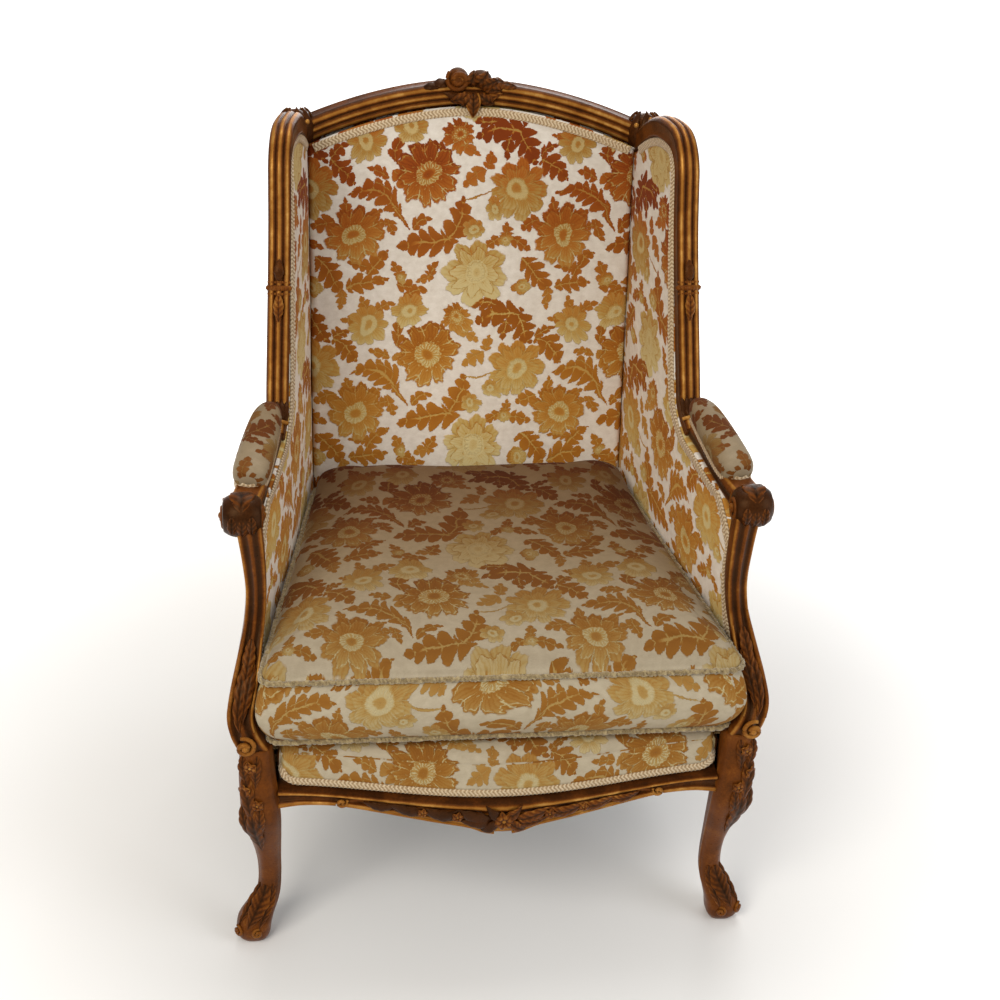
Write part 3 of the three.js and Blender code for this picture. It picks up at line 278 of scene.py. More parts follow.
def outward_of(u, v):
    """The outward normal of each section ring, from the step between the two neighbours of a point."""
    du = np.roll(u, -1, axis=1) - np.roll(u, 1, axis=1)
    dv = np.roll(v, -1, axis=1) - np.roll(v, 1, axis=1)
    size = np.maximum(np.hypot(du, dv), 1e-9)
    turn = np.sign(np.sum(u * np.roll(v, -1, axis=1) - v * np.roll(u, -1, axis=1), axis=1, keepdims=True))
    return turn * dv / size, -turn * du / size


def sweep(rows, hint, section, spacing=2.5, carve=None, level_rings=False):
    """A section carried along rows of [x, y, z, width, depth]. carve(along, u, v) gives a height that each
    point moves out by, and its shine. level_rings keeps every ring flat, as on a leg."""
    rows = smooth_rows(rows, spacing)
    spots = rows[:, :3]
    if level_rings:
        across = np.broadcast_to(SIDEWAYS, spots.shape)
        up = np.broadcast_to(-FORWARD, spots.shape)
    else:
        _, across, up = frames_along(spots, hint)
    u, v, relief = section(rows[:, 3:4], rows[:, 4:5])
    if carve is not None:
        run = run_along(spots)
        height, shine = carve(run[:, None] / run[-1], u, v)
        nu, nv = outward_of(u, v)
        u = u + nu * height
        v = v + nv * height
        # sunk places are made darker by lowering their relief: partly the dark wax in the hollows, partly
        # painted shade
        relief = np.maximum(relief, shine) - 0.35 * np.clip(-height, 0, 1)
    grid = spots[:, None] + u[..., None] * across[:, None] + v[..., None] * up[:, None]
    return ring_part(grid, relief)


# Sections
def reeded(width, depth):
    """Three round reeds side by side on the face, each a half circle's curve with a tight groove between,
    shallow hollows down the sides and a flat back with round corners."""
    t = np.linspace(-1, 1, 43)
    place = (t + 1) * 1.5
    across = 2 * (place - np.minimum(np.floor(place), 2)) - 1
    round_reed = np.sqrt(np.maximum(0, 1 - across ** 2))
    u = [t * (width / 2), np.full((1, 9), 1) * width / 2, np.linspace(1, -1, 13) * (width / 2),
         -np.full((1, 9), 1) * width / 2]
    drop = np.linspace(0, 1, 11)[1:-1]
    face = (1 - 0.3 * t ** 2) * depth / 2 - 4.0 * (1 - round_reed)
    edge = 0.35 * depth - 4.0
    side = edge + (-depth / 2 - edge) * drop
    back = np.broadcast_to(-depth / 2, (len(width), 13))
    v = [np.broadcast_to(face, (len(width), 43)), side, back, side[:, ::-1]]
    hollow = 1.6 * np.sin(np.pi * drop)
    u[1] = u[1] - hollow
    u[3] = u[3] + hollow
    corner = np.clip(np.abs(np.linspace(1, -1, 13)) - 0.8, 0, 1) * 10
    v[2] = back + corner
    # each reed gets a narrow bright line on its crown and darker grooves: partly gilt kept on the crowns,
    # partly a painted highlight on them and painted shade in the grooves
    shine = 0.25 + 0.23 * round_reed + 0.58 * round_reed ** 14
    shine = np.concatenate([shine, np.full(9, 0.42), np.full(13, 0.3), np.full(9, 0.42)])
    u = np.concatenate([np.broadcast_to(a, (len(width), a.shape[-1])) for a in u], axis=1)
    v = np.concatenate([np.broadcast_to(a, (len(width), a.shape[-1])) for a in v], axis=1)
    return u, v, np.broadcast_to(shine, u.shape)


def rounded(count, squareness, shine=0.5):
    """A ring between an ellipse and a rectangle: |u|^s + |v|^s = 1, scaled to the width and depth."""
    def section(width, depth):
        angle = 2 * np.pi * (np.arange(count) + 0.5) / count
        across, ahead = np.cos(angle), np.sin(angle)
        reach = (np.abs(across) ** squareness + np.abs(ahead) ** squareness) ** (-1 / squareness)
        u, v = reach * across * width / 2, reach * ahead * depth / 2
        return u, v, np.full(u.shape, shine)
    return section


def leaf_section(lobes, ribs):
    """A blade: an ellipse whose half width dips between the lobes, with a sunk middle vein and ribs that
    slant from it."""
    def section(width, depth):
        n = len(width)
        p = np.linspace(0, 1, n)[:, None]
        angle = 2 * np.pi * np.arange(28) / 28
        notch = 0.78 + 0.22 * np.abs(np.sin(np.pi * lobes * p)) ** 0.6
        u = np.cos(angle) * width / 2 * notch
        s = np.abs(np.cos(angle))
        rib = np.cos(2 * np.pi * ribs * (p + 0.18 * s))
        vein = np.exp(-((np.cos(angle)) / 0.16) ** 2)
        top = np.sin(angle) > 0
        body = 1 - 0.35 * vein + 0.11 * rib * (1 - vein)
        v = np.sin(angle) * depth / 2 * np.where(top, body, 0.8)
        shine = np.where(top, 0.42 + 0.12 * rib - 0.3 * vein + 0.2 * s ** 3, 0.2)
        return u, v, np.broadcast_to(shine, u.shape)
    return section


# Carved ornaments
def ball(middle, size, around=14, down=8, shine=0.8):
    """An ellipsoid from rings of latitude."""
    turn = 2 * np.pi * np.arange(around) / around
    tilt = np.linspace(0.12, np.pi - 0.12, down)[:, None]
    ring = together(np.sin(tilt) * np.cos(turn), np.sin(tilt) * np.sin(turn), np.cos(tilt))
    return ring_part(np.asarray(middle) + ring * size, np.full(ring.shape[:2], shine))


def rod(points, radius, shine=0.95, hint=UPWARD, taper=0.35):
    """A round bead moulding along a curve, drawn finer to both of its ends."""
    points = np.asarray(points, float)
    share = np.linspace(0, 1, len(points))
    size = 2 * radius * (taper + (1 - taper) * np.sin(np.pi * np.clip(share, 0.02, 0.98)) ** 0.5)
    return sweep(np.column_stack([points, size, size]), hint, rounded(10, 2, shine), 2.0)


def leaf(points, hint, width, thick, lobes=4, ribs=7, spacing=1.8, shine=0.0):
    """A carved leaf along a curve. The hint is the way that its width lies; it swells from its foot, is
    widest past its first third and ends in a point."""
    points = np.asarray(points, float)
    share = np.linspace(0, 1, 13)
    spots = smooth_rows(points, 1)
    spots = np.stack([np.interp(share, np.linspace(0, 1, len(spots)), c) for c in spots.T], axis=1)
    swell = np.sin(np.pi * np.clip(share, 0.03, 0.985) ** 0.75) ** 0.75
    rows = np.column_stack([spots, width * swell, thick * (0.35 + 0.65 * swell)])
    part = sweep(rows, hint, leaf_section(lobes, ribs), spacing)
    part.relief = part.relief + shine
    return part


def spiral(middle, across, up, radius, turns, start, lift):
    """Places on a volute: the radius falls to its inner share by a power of the turn, as the middle
    lifts."""
    t = np.linspace(0, 1, 40)[:, None]
    inner = 0.18
    reach = radius * (1 - (1 - inner) * t ** 0.8)
    angle = start + 2 * np.pi * turns * t
    return middle + reach * (np.cos(angle) * across + np.sin(angle) * up) + np.asarray(lift) * t


def rosette(middle, across, up, radius, petals, thick):
    """A flower: petals round a boss, each a short leaf from the middle outwards."""
    face = np.cross(across, up)
    parts = [ball(middle + face * thick * 0.5, np.full(3, radius * 0.26), shine=1.0)]
    for k in range(petals):
        a = 2 * np.pi * k / petals
        way = np.cos(a) * across + np.sin(a) * up
        wide = -np.sin(a) * across + np.cos(a) * up
        curve = [middle + way * radius * s + face * thick * (0.2 + 0.6 * np.sin(np.pi * s))
                 for s in (0.1, 0.4, 0.75, 1.0)]
        parts.append(leaf(curve, wide, 5 * radius / petals, thick, lobes=1, ribs=2, spacing=1.6, shine=0.12))
    return parts


# Finishes
def linear(code):
    """An sRGB hex colour as the linear values that Blender works in."""
    value = np.array([int(code[k:k + 2], 16) for k in (1, 3, 5)]) / 255
    value = np.where(value <= 0.04045, value / 12.92, ((value + 0.055) / 1.055) ** 2.4)
    return (*[float(c) for c in value], 1.0)


def add(tree, kind, inputs=(), out=0, stops=(), **settings):
    """Adds one node, sets its settings, and links or fills its inputs. A kind in capitals is a Math node's
    operation. A MapRange takes its value, then from low, from high, to low and to high. stops are a colour
    ramp's pairs of place and hex colour. Returns the named output."""
    if kind.isupper():
        kind, settings = "Math", {"operation": kind}
    made = tree.nodes.new("ShaderNode" + kind)
    for name, value in settings.items():
        setattr(made, name, value)
    for _ in stops[2:]:
        made.color_ramp.elements.new(0.5)
    for k, (place, code) in enumerate(stops):
        made.color_ramp.elements[k].position = place
        made.color_ramp.elements[k].color = linear(code)
    for key, value in (inputs.items() if isinstance(inputs, dict) else enumerate(inputs)):
        if isinstance(value, bpy.types.NodeSocket):
            tree.links.new(value, made.inputs[key])
        elif value is not None:
            made.inputs[key].default_value = value
    return made.outputs[out]


def new_material(name, **fixed):
    """A material with its Principled shader, whose fixed values are set on the shader's own sockets."""
    material = bpy.data.materials.new(name)
    material.use_nodes = True
    shader = material.node_tree.nodes["Principled BSDF"]
    for key, value in fixed.items():
        shader.inputs[key.replace("_", " ")].default_value = value
    return material, material.node_tree, shader


def set_shader(tree, shader, links):
    """Links outputs to the shader's sockets by name."""
    for name, socket in links.items():
        tree.links.new(socket, shader.inputs[name])


def gilded_wood():
    """Carved beech, gessoed, laid with reddish bole and water gilt, then worn for two centuries: leaf stays
    on the ridges, dull and brown, and thins to wood and dark wax in the hollows. The relief value that sets
    gold against brown also carries a painted highlight on the reeds' crowns and painted shade in the
    hollows."""
    material, tree, shader = new_material("gilded_beech", Specular_IOR_Level=0.22,
                                          Specular_Tint=linear("#EBB684"))
    place = add(tree, "TexCoord", out="Object")
    relief = add(tree, "Attribute", out="Fac", attribute_name="relief")
    # patches of wear 30 mm across, and crackle of 3 mm
    patch = add(tree, "TexNoise", {"Vector": place, "Scale": 34.0, "Detail": 4.0, "Roughness": 0.6})
    speck = add(tree, "TexNoise", {"Vector": place, "Scale": 320.0, "Detail": 3.0, "Roughness": 0.7})
    wear = add(tree, "MULTIPLY_ADD", [patch, 0.6, -0.3])
    grit = add(tree, "MULTIPLY_ADD", [speck, 0.36, -0.18])
    worn = add(tree, "ADD", [wear, grit])
    bright = add(tree, "ADD", [relief, worn])
    leaf_left = add(tree, "MapRange", [bright, 0.55, 1.3], interpolation_type="SMOOTHSTEP")
    wood = add(tree, "ValToRGB", [bright], stops=[(0.0, "#180A03"), (0.3, "#3A1C08"), (0.55, "#64340F"),
                                                  (0.85, "#8F5A20")])
    gold = add(tree, "ValToRGB", [patch], stops=[(0.3, "#7A4E1D"), (0.5, "#9A6A2D"), (0.7, "#C2934F")])
    colour = add(tree, "Mix", {0: leaf_left, 6: wood, 7: gold}, out=2, data_type="RGBA")
    metal = add(tree, "MULTIPLY", [leaf_left, 0.5])
    rough = add(tree, "MapRange", [speck, 0.3, 0.7, 0.26, 0.46])
    normal = add(tree, "Bump", {"Strength": 0.5, "Distance": 0.0006, "Height": speck})
    set_shader(tree, shader, {"Base Color": colour, "Metallic": metal, "Roughness": rough, "Normal": normal})
    return material


def bare_beech():
    """Planed beech, oiled by age: pale brown with short darker flecks along the grain."""
    material, tree, shader = new_material("planed_beech", Roughness=0.62)
    place = add(tree, "TexCoord", out="Object")
    grain = add(tree, "Mapping", {"Vector": place, "Scale": (22, 260, 260)})
    fleck = add(tree, "TexNoise", {"Vector": grain, "Scale": 1.0, "Detail": 5.0, "Roughness": 0.6})
    colour = add(tree, "ValToRGB", [fleck], stops=[(0.3, "#7D5A36"), (0.5, "#A67C4C"), (0.72, "#BC9362")])
    normal = add(tree, "Bump", {"Strength": 0.4, "Distance": 0.0004, "Height": fleck})
    set_shader(tree, shader, {"Base Color": colour, "Normal": normal})
    return material


def woven(name, warp_mm, dark, light, roughness, slub):
    """A plain weave: threads one way over threads the other, from the product of two sines at the real
    thread spacing, with slubs from noise."""
    material, tree, shader = new_material(name, Roughness=roughness, Sheen_Weight=0.15)
    place = add(tree, "UVMap")
    thread = add(tree, "VectorMath", [place, (2000 * math.pi / warp_mm,) * 3], operation="MULTIPLY")
    split = add(tree, "SeparateXYZ", [thread]).node
    warp = add(tree, "SINE", [split.outputs[0]])
    weft = add(tree, "SINE", [split.outputs[1]])
    weave = add(tree, "MULTIPLY", [warp, weft])
    noise = add(tree, "TexNoise", {"Vector": place, "Scale": 90.0, "Detail": 4.0})
    mixed = add(tree, "MULTIPLY_ADD", [weave, 0.22, noise])
    colour = add(tree, "ValToRGB", [mixed], stops=[(0.25, dark), (0.7, light)])
    normal = add(tree, "Bump", {"Strength": 0.7, "Distance": slub, "Height": mixed})
    set_shader(tree, shader, {"Base Color": colour, "Normal": normal})
    return material


def spring_steel():
    """Copper-plated spring wire, dulled: drawn wire with a grey brown film."""
    material, tree, shader = new_material("plated_spring_wire", Metallic=1.0)
    place = add(tree, "TexCoord", out="Object")
    film = add(tree, "TexNoise", {"Vector": place, "Scale": 160.0, "Detail": 4.0})
    colour = add(tree, "ValToRGB", [film], stops=[(0.35, "#5E4A3A"), (0.6, "#8C6D52")])
    rough = add(tree, "MapRange", [film, 0.0, 1.0, 0.3, 0.6])
    set_shader(tree, shader, {"Base Color": colour, "Roughness": rough})
    return material


def braid_gimp():
    """Gimp: a narrow woven silk braid of figure-of-eight loops, 5 mm a loop, faded to a pinkish cream."""
    material, tree, shader = new_material("silk_gimp", Roughness=0.7, Sheen_Weight=0.3)
    place = add(tree, "UVMap")
    split = add(tree, "SeparateXYZ", [place]).node
    turn = add(tree, "MULTIPLY", [split.outputs[0], 2000 * math.pi / 5.5])
    side = add(tree, "MULTIPLY", [split.outputs[1], 2000 * math.pi / 12])
    skew = add(tree, "SINE", [side])
    slant = add(tree, "MULTIPLY_ADD", [skew, 2.4, turn])
    cord = add(tree, "SINE", [slant])
    fibre = add(tree, "TexNoise", {"Vector": place, "Scale": 420.0, "Detail": 3.0})
    height = add(tree, "MULTIPLY_ADD", [cord, 0.25, fibre])
    colour = add(tree, "ValToRGB", [height], stops=[(0.25, "#977A55"), (0.5, "#BBA07A"), (0.75, "#D2BE9C")])
    normal = add(tree, "Bump", {"Strength": 0.9, "Distance": 0.0012, "Height": height})
    set_shader(tree, shader, {"Base Color": colour, "Normal": normal})
    return material


def moss_fringe():
    """Moss fringe: cut silk tufts on a heading, olive gold, each tuft about 6 mm."""
    material, tree, shader = new_material("silk_moss_fringe", Roughness=0.85, Sheen_Weight=0.4)
    place = add(tree, "TexCoord", out="Object")
    relief = add(tree, "Attribute", out="Fac", attribute_name="relief")
    strand = add(tree, "TexNoise", {"Vector": place, "Scale": 900.0, "Detail": 2.0})
    tone = add(tree, "MULTIPLY_ADD", [relief, 0.5, strand])
    colour = add(tree, "ValToRGB", [tone], stops=[(0.4, "#5A4826"), (0.75, "#84704A"), (1.0, "#A6936A")])
    normal = add(tree, "Bump", {"Strength": 0.8, "Distance": 0.001, "Height": strand})
    set_shader(tree, shader, {"Base Color": colour, "Normal": normal})
    return material


# The velvet's repeat, and the places of its flowers and leaves in it, in millimetres from the big flower
REPEAT_WIDE = 316.0
REPEAT_HIGH = 273.0
# [x, y, size, angle, depth of colour, petals, fraying of the edge, rings of petals]
FLOWERS = [
    (0, 0, 49, 10, 0.88, 10, 0.05, 2.2),
    (137, -20, 46, 0, 0.5, 9, 0.02, 2.6),
    (-111, -89, 46, 0, 0.72, 9, 0.03, 2.4),
    (73, -147, 50, -10, 0.2, 8, 0.03, 2.6),
    (-93, 46, 31, 0, 0.45, 10, 0.0, 1.9),
    (-27, 68, 29, 0, 0.4, 6, 0.05, 1.7),
    (44, 56, 25, 30, 0.8, 6, 0.09, 1.8),
    (70, -80, 17, 0, 0.45, 7, 0.0, 1.8),
    (102, -52, 16, 0, 0.4, 6, 0.0, 1.8),
    (142, -167, 15, 90, 0.5, 4, 0.02, 1.2),
    (120, -97, 11, 20, 0.5, 4, 0.04, 1.3),
    (-41, -154, 10, 20, 0.5, 4, 0.04, 1.3),
]
# [x, y, half length, angle of its tip, depth of colour, lobes, bend, half width over half length]
LEAVES = [
    (115, 60, 45, 180, 1.0, 2.2, -0.25, 0.51),
    (147, 44, 33, -58, 0.95, 2.0, 0.0, 0.67),
    (90, 77, 26, 170, 0.95, 1.8, -0.1, 0.46),
    (120, 42, 19, -95, 0.95, 1.4, 0.0, 0.61),
    (-126, 8, 27, -42, 0.85, 1.8, 0.1, 0.71),
    (-135, 36, 16, 35, 0.85, 1.4, 0.2, 0.61),
    (-74, 3, 17, 165, 0.7, 1.4, -0.1, 0.61),
    (-77, -31, 44, 158, 0.75, 3.0, -0.4, 0.49),
    (-45, -58, 27, -58, 0.75, 0.0, 0.1, 0.14),
    (-12, -68, 20, 28, 0.75, 1.2, 0.35, 0.55),
    (-55, -80, 16, -72, 0.7, 1.4, 0.0, 0.61),
    (-68, -74, 14, 190, 0.7, 1.4, 0.0, 0.61),
    (46, -70, 41, 70, 0.8, 2.0, -0.15, 0.59),
    (-2, -101, 47, 184, 0.8, 2.4, -0.15, 0.51),
    (156, -70, 18, 200, 0.7, 1.4, 0.0, 0.73),
    (-125, -45, 15, 100, 0.7, 1.2, 0.0, 0.55),
    (-82, -60, 15, 30, 0.7, 1.2, 0.0, 0.61),
    (-149, -150, 34, -55, 0.8, 2.2, 0.1, 0.61),
    (-94, -160, 32, 12, 0.75, 2.0, 0.1, 0.55),
    (-80, -131, 27, 45, 0.75, 1.8, 0.15, 0.51),
    (-106, -134, 15, 175, 0.75, 1.4, 0.0, 0.61),
    (-134, 88, 17, -85, 0.6, 1.4, 0.0, 0.61),
    (-67, 74, 19, 30, 0.65, 1.4, 0.2, 0.61),
    (-96, 77, 16, 110, 0.65, 1.4, 0.0, 0.61),
    (-116, 56, 15, 170, 0.65, 1.4, 0.0, 0.61),
    (-45, 38, 20, 78, 0.85, 1.4, 0.2, 0.61),
    (12, 38, 18, 172, 0.9, 1.2, -0.3, 0.51),
    (61, 32, 19, -25, 0.5, 1.4, 0.1, 0.51),
    (92, 20, 15, 82, 0.6, 1.0, 0.0, 0.67),
    (72, -7, 20, 215, 0.5, 1.5, 0.0, 0.73),
    (100, -102, 15, 215, 0.75, 1.2, 0.0, 0.61),
    (142, -102, 18, -18, 0.75, 1.4, 0.1, 0.61),
    (122, -80, 14, 85, 0.7, 1.2, 0.0, 0.67),
    (6, -145, 17, 60, 0.75, 1.4, 0.1, 0.61),
    (-5, -156, 14, 200, 0.6, 1.2, 0.0, 0.61),
    (-46, -143, 17, 110, 0.7, 1.4, 0.0, 0.61),
    (-32, -166, 19, -10, 0.75, 1.4, 0.1, 0.61),
    (-22, 97, 22, 20, 0.75, 1.6, 0.2, 0.51),
    (-41, -9, 18, -60, 0.6, 1.2, 0.0, 0.73),
    (84, -30, 30, 20, 0.6, 0.0, -0.3, 0.05),
    (-70, -20, 26, -30, 0.7, 0.0, 0.2, 0.06),
]


def new_group(name, inputs):
    """A node group with a place and some numbers in, and mask, tone and line out."""
    group = bpy.data.node_groups.new(name, "ShaderNodeTree")
    group.interface.new_socket("Place", in_out="INPUT", socket_type="NodeSocketVector")
    for label in inputs:
        group.interface.new_socket(label, in_out="INPUT", socket_type="NodeSocketFloat")
    for label in ("Mask", "Tone", "Line"):
        group.interface.new_socket(label, in_out="OUTPUT", socket_type="NodeSocketFloat")
    start = group.nodes.new("NodeGroupInput")
    end = group.nodes.new("NodeGroupOutput")
    return group, start, end


def flower_group():
    """An open flower of radius 1. A petal's edge is the cosine of the angle, frayed by a finer sine; rings
    of petals each turn by half a petal. Tone rises towards the petals' tips and to the flower's foot, a
    pale ring lies round its eye, and lines run where rings and petals meet and in dots round the eye."""
    group, start, end = new_group("open_flower", ["Petals", "Ragged", "Rings"])
    spot, petals = start.outputs["Place"], start.outputs["Petals"]
    split = add(group, "SeparateXYZ", [spot]).node
    reach = add(group, "VectorMath", [spot], "Value", operation="LENGTH")
    angle = add(group, "ARCTAN2", [split.outputs[1], split.outputs[0]])
    half = add(group, "MULTIPLY", [angle, petals])
    half = add(group, "MULTIPLY", [half, 0.5])
    wave = add(group, "COSINE", [half])
    wave = add(group, "ABSOLUTE", [wave])
    lobe = add(group, "POWER", [wave, 0.55])
    ripple = add(group, "MULTIPLY", [half, 5.0])
    ripple = add(group, "SINE", [ripple])
    edge = add(group, "MULTIPLY_ADD", [lobe, 0.28, 0.72])
    edge = add(group, "MULTIPLY_ADD", [ripple, start.outputs["Ragged"], edge])
    share = add(group, "DIVIDE", [reach, edge])
    mask = add(group, "MapRange", [share, 0.95, 1.0, 1.0, 0.0])
    steps = add(group, "MULTIPLY", [share, start.outputs["Rings"]])
    ring = add(group, "FLOOR", [steps])
    inner = add(group, "MULTIPLY_ADD", [ring, math.pi / 2, half])
    inner = add(group, "COSINE", [inner])
    inner = add(group, "ABSOLUTE", [inner])
    steps = add(group, "MULTIPLY_ADD", [inner, 0.3, steps])
    within = add(group, "FRACT", [steps])
    rays = add(group, "ABSOLUTE", [ripple])
    from_ring = add(group, "SUBTRACT", [reach, 0.25])
    from_ring = add(group, "ABSOLUTE", [from_ring])
    pale = add(group, "MapRange", [from_ring, 0.08, 0.13, 0.75, 0.0])
    tone = add(group, "MULTIPLY_ADD", [within, 0.5, pale])
    tone = add(group, "MULTIPLY_ADD", [rays, 0.4, tone])
    tone = add(group, "MULTIPLY_ADD", [split.outputs[1], -0.6, tone])
    notch = add(group, "MapRange", [wave, 0.05, 0.16, 1.0, 0.0])
    outer = add(group, "MapRange", [reach, 0.4, 0.6])
    notch = add(group, "MULTIPLY", [notch, outer])
    seam = add(group, "MapRange", [within, 0.05, 0.13, 0.9, 0.0])
    line = add(group, "MAXIMUM", [seam, notch])
    dots = add(group, "MULTIPLY", [half, 4.0])
    dots = add(group, "SINE", [dots])
    rim = add(group, "MapRange", [from_ring, 0.05, 0.08, 1.0, 0.0])
    dots = add(group, "MULTIPLY", [dots, rim])
    line = add(group, "MAXIMUM", [line, dots])
    for name, socket in {"Mask": mask, "Tone": tone, "Line": line}.items():
        group.links.new(socket, end.inputs[name])
    return group


def leaf_group():
    """A leaf from -1 to its tip at 1, its half width 1: a power of 1 - x squared, fuller at the foot,
    notched by a slanting cosine into lobes, with a vein down the middle and short ones into the notches.
    Slim is its half width over its half length, so that veins slant alike on broad and narrow leaves."""
    group, start, end = new_group("lobed_leaf", ["Lobes", "Slim"])
    split = add(group, "SeparateXYZ", [start.outputs["Place"]]).node
    x = split.outputs[0]
    away = add(group, "ABSOLUTE", [split.outputs[1]])
    square = add(group, "MULTIPLY", [x, x])
    inside = add(group, "SUBTRACT", [1.0, square])
    inside = add(group, "MAXIMUM", [inside, 0.0])
    inside = add(group, "POWER", [inside, 0.75])
    foot = add(group, "MULTIPLY_ADD", [x, -0.25, 1.0])
    inside = add(group, "MULTIPLY", [inside, foot])
    wide = add(group, "MULTIPLY", [away, start.outputs["Slim"]])
    slant = add(group, "MULTIPLY_ADD", [wide, -0.55, x])
    notch = add(group, "MULTIPLY", [slant, start.outputs["Lobes"]])
    notch = add(group, "MULTIPLY", [notch, math.pi])
    notch = add(group, "COSINE", [notch])
    notch = add(group, "ABSOLUTE", [notch])
    lobe = add(group, "POWER", [notch, 0.6])
    lobe = add(group, "MULTIPLY_ADD", [lobe, 0.68, 0.34])
    half = add(group, "MULTIPLY", [inside, lobe])
    half = add(group, "MAXIMUM", [half, 0.0002])
    share = add(group, "DIVIDE", [away, half])
    mask = add(group, "MapRange", [share, 0.93, 1.0, 1.0, 0.0])
    vein = add(group, "MapRange", [wide, 0.02, 0.045, 0.9, 0.0])
    near = add(group, "MapRange", [x, 0.3, 0.6, 1.0, 0.0])
    vein = add(group, "MULTIPLY", [vein, near])
    rib = add(group, "MapRange", [notch, 0.1, 0.25, 0.8, 0.0])
    near = add(group, "MapRange", [share, 0.45, 0.7, 1.0, 0.0])
    rib = add(group, "MULTIPLY", [rib, near])
    line = add(group, "MAXIMUM", [vein, rib])
    tone = add(group, "MULTIPLY", [share, 0.4])
    for name, socket in {"Mask": mask, "Tone": tone, "Line": line}.items():
        group.links.new(socket, end.inputs[name])
    return group


def nearest_motif(tree, flat, motifs, bent):
    """Of many motifs, the one that a place on the cloth lies in: each in turn replaces the best so far where
    the place is nearer to it, measured in its own size. A leaf's middle line is bent by x squared. Gives the
    place in that motif, its numbers and its depth of colour."""
    best, spot, numbers, depth = 9.0, (9.0, 9.0, 0.0), (1.0, 0.0, 0.1), 0.5
    for x, y, size, angle, deep, first, second, third in motifs:
        x, y, wide, high = x / REPEAT_WIDE, y / REPEAT_HIGH, REPEAT_WIDE / size, REPEAT_HIGH / size
        own = add(tree, "VectorMath", [flat, (x + 0.5, y + 0.5, 0.5), (x - 0.5, y - 0.5, -0.5)],
                  operation="WRAP")
        own = add(tree, "VectorMath", [own, (wide, high, 0), (-x * wide, -y * high, 0)],
                  operation="MULTIPLY_ADD")
        own = add(tree, "VectorRotate", {"Vector": own, "Angle": -math.radians(angle)},
                  rotation_type="Z_AXIS")
        given = (first, third, 0.0) if bent else (first, second, third)
        if bent:
            bend = second / third
            own = add(tree, "VectorMath", [own, (1, 1 / third, 0), (0, -0.3 * bend, 0)],
                      operation="MULTIPLY_ADD")
        if bent and second:
            square = add(tree, "VectorMath", [own, own], operation="MULTIPLY")
            square = add(tree, "VectorMath", [square, (0, 0, bend)], operation="CROSS_PRODUCT")
            own = add(tree, "VectorMath", [square, (0, -1, 0), own], operation="MULTIPLY_ADD")
        away = add(tree, "VectorMath", [own], "Value", operation="LENGTH")
        nearer = add(tree, "LESS_THAN", [away, best])
        best = add(tree, "MINIMUM", [away, best])
        spot = add(tree, "Mix", {0: nearer, 4: spot, 5: own}, 1, data_type="VECTOR")
        numbers = add(tree, "Mix", {0: nearer, 4: numbers, 5: given}, 1, data_type="VECTOR")
        depth = add(tree, "Mix", {0: nearer, 2: depth, 3: deep + 0.12})
    return spot, numbers, depth


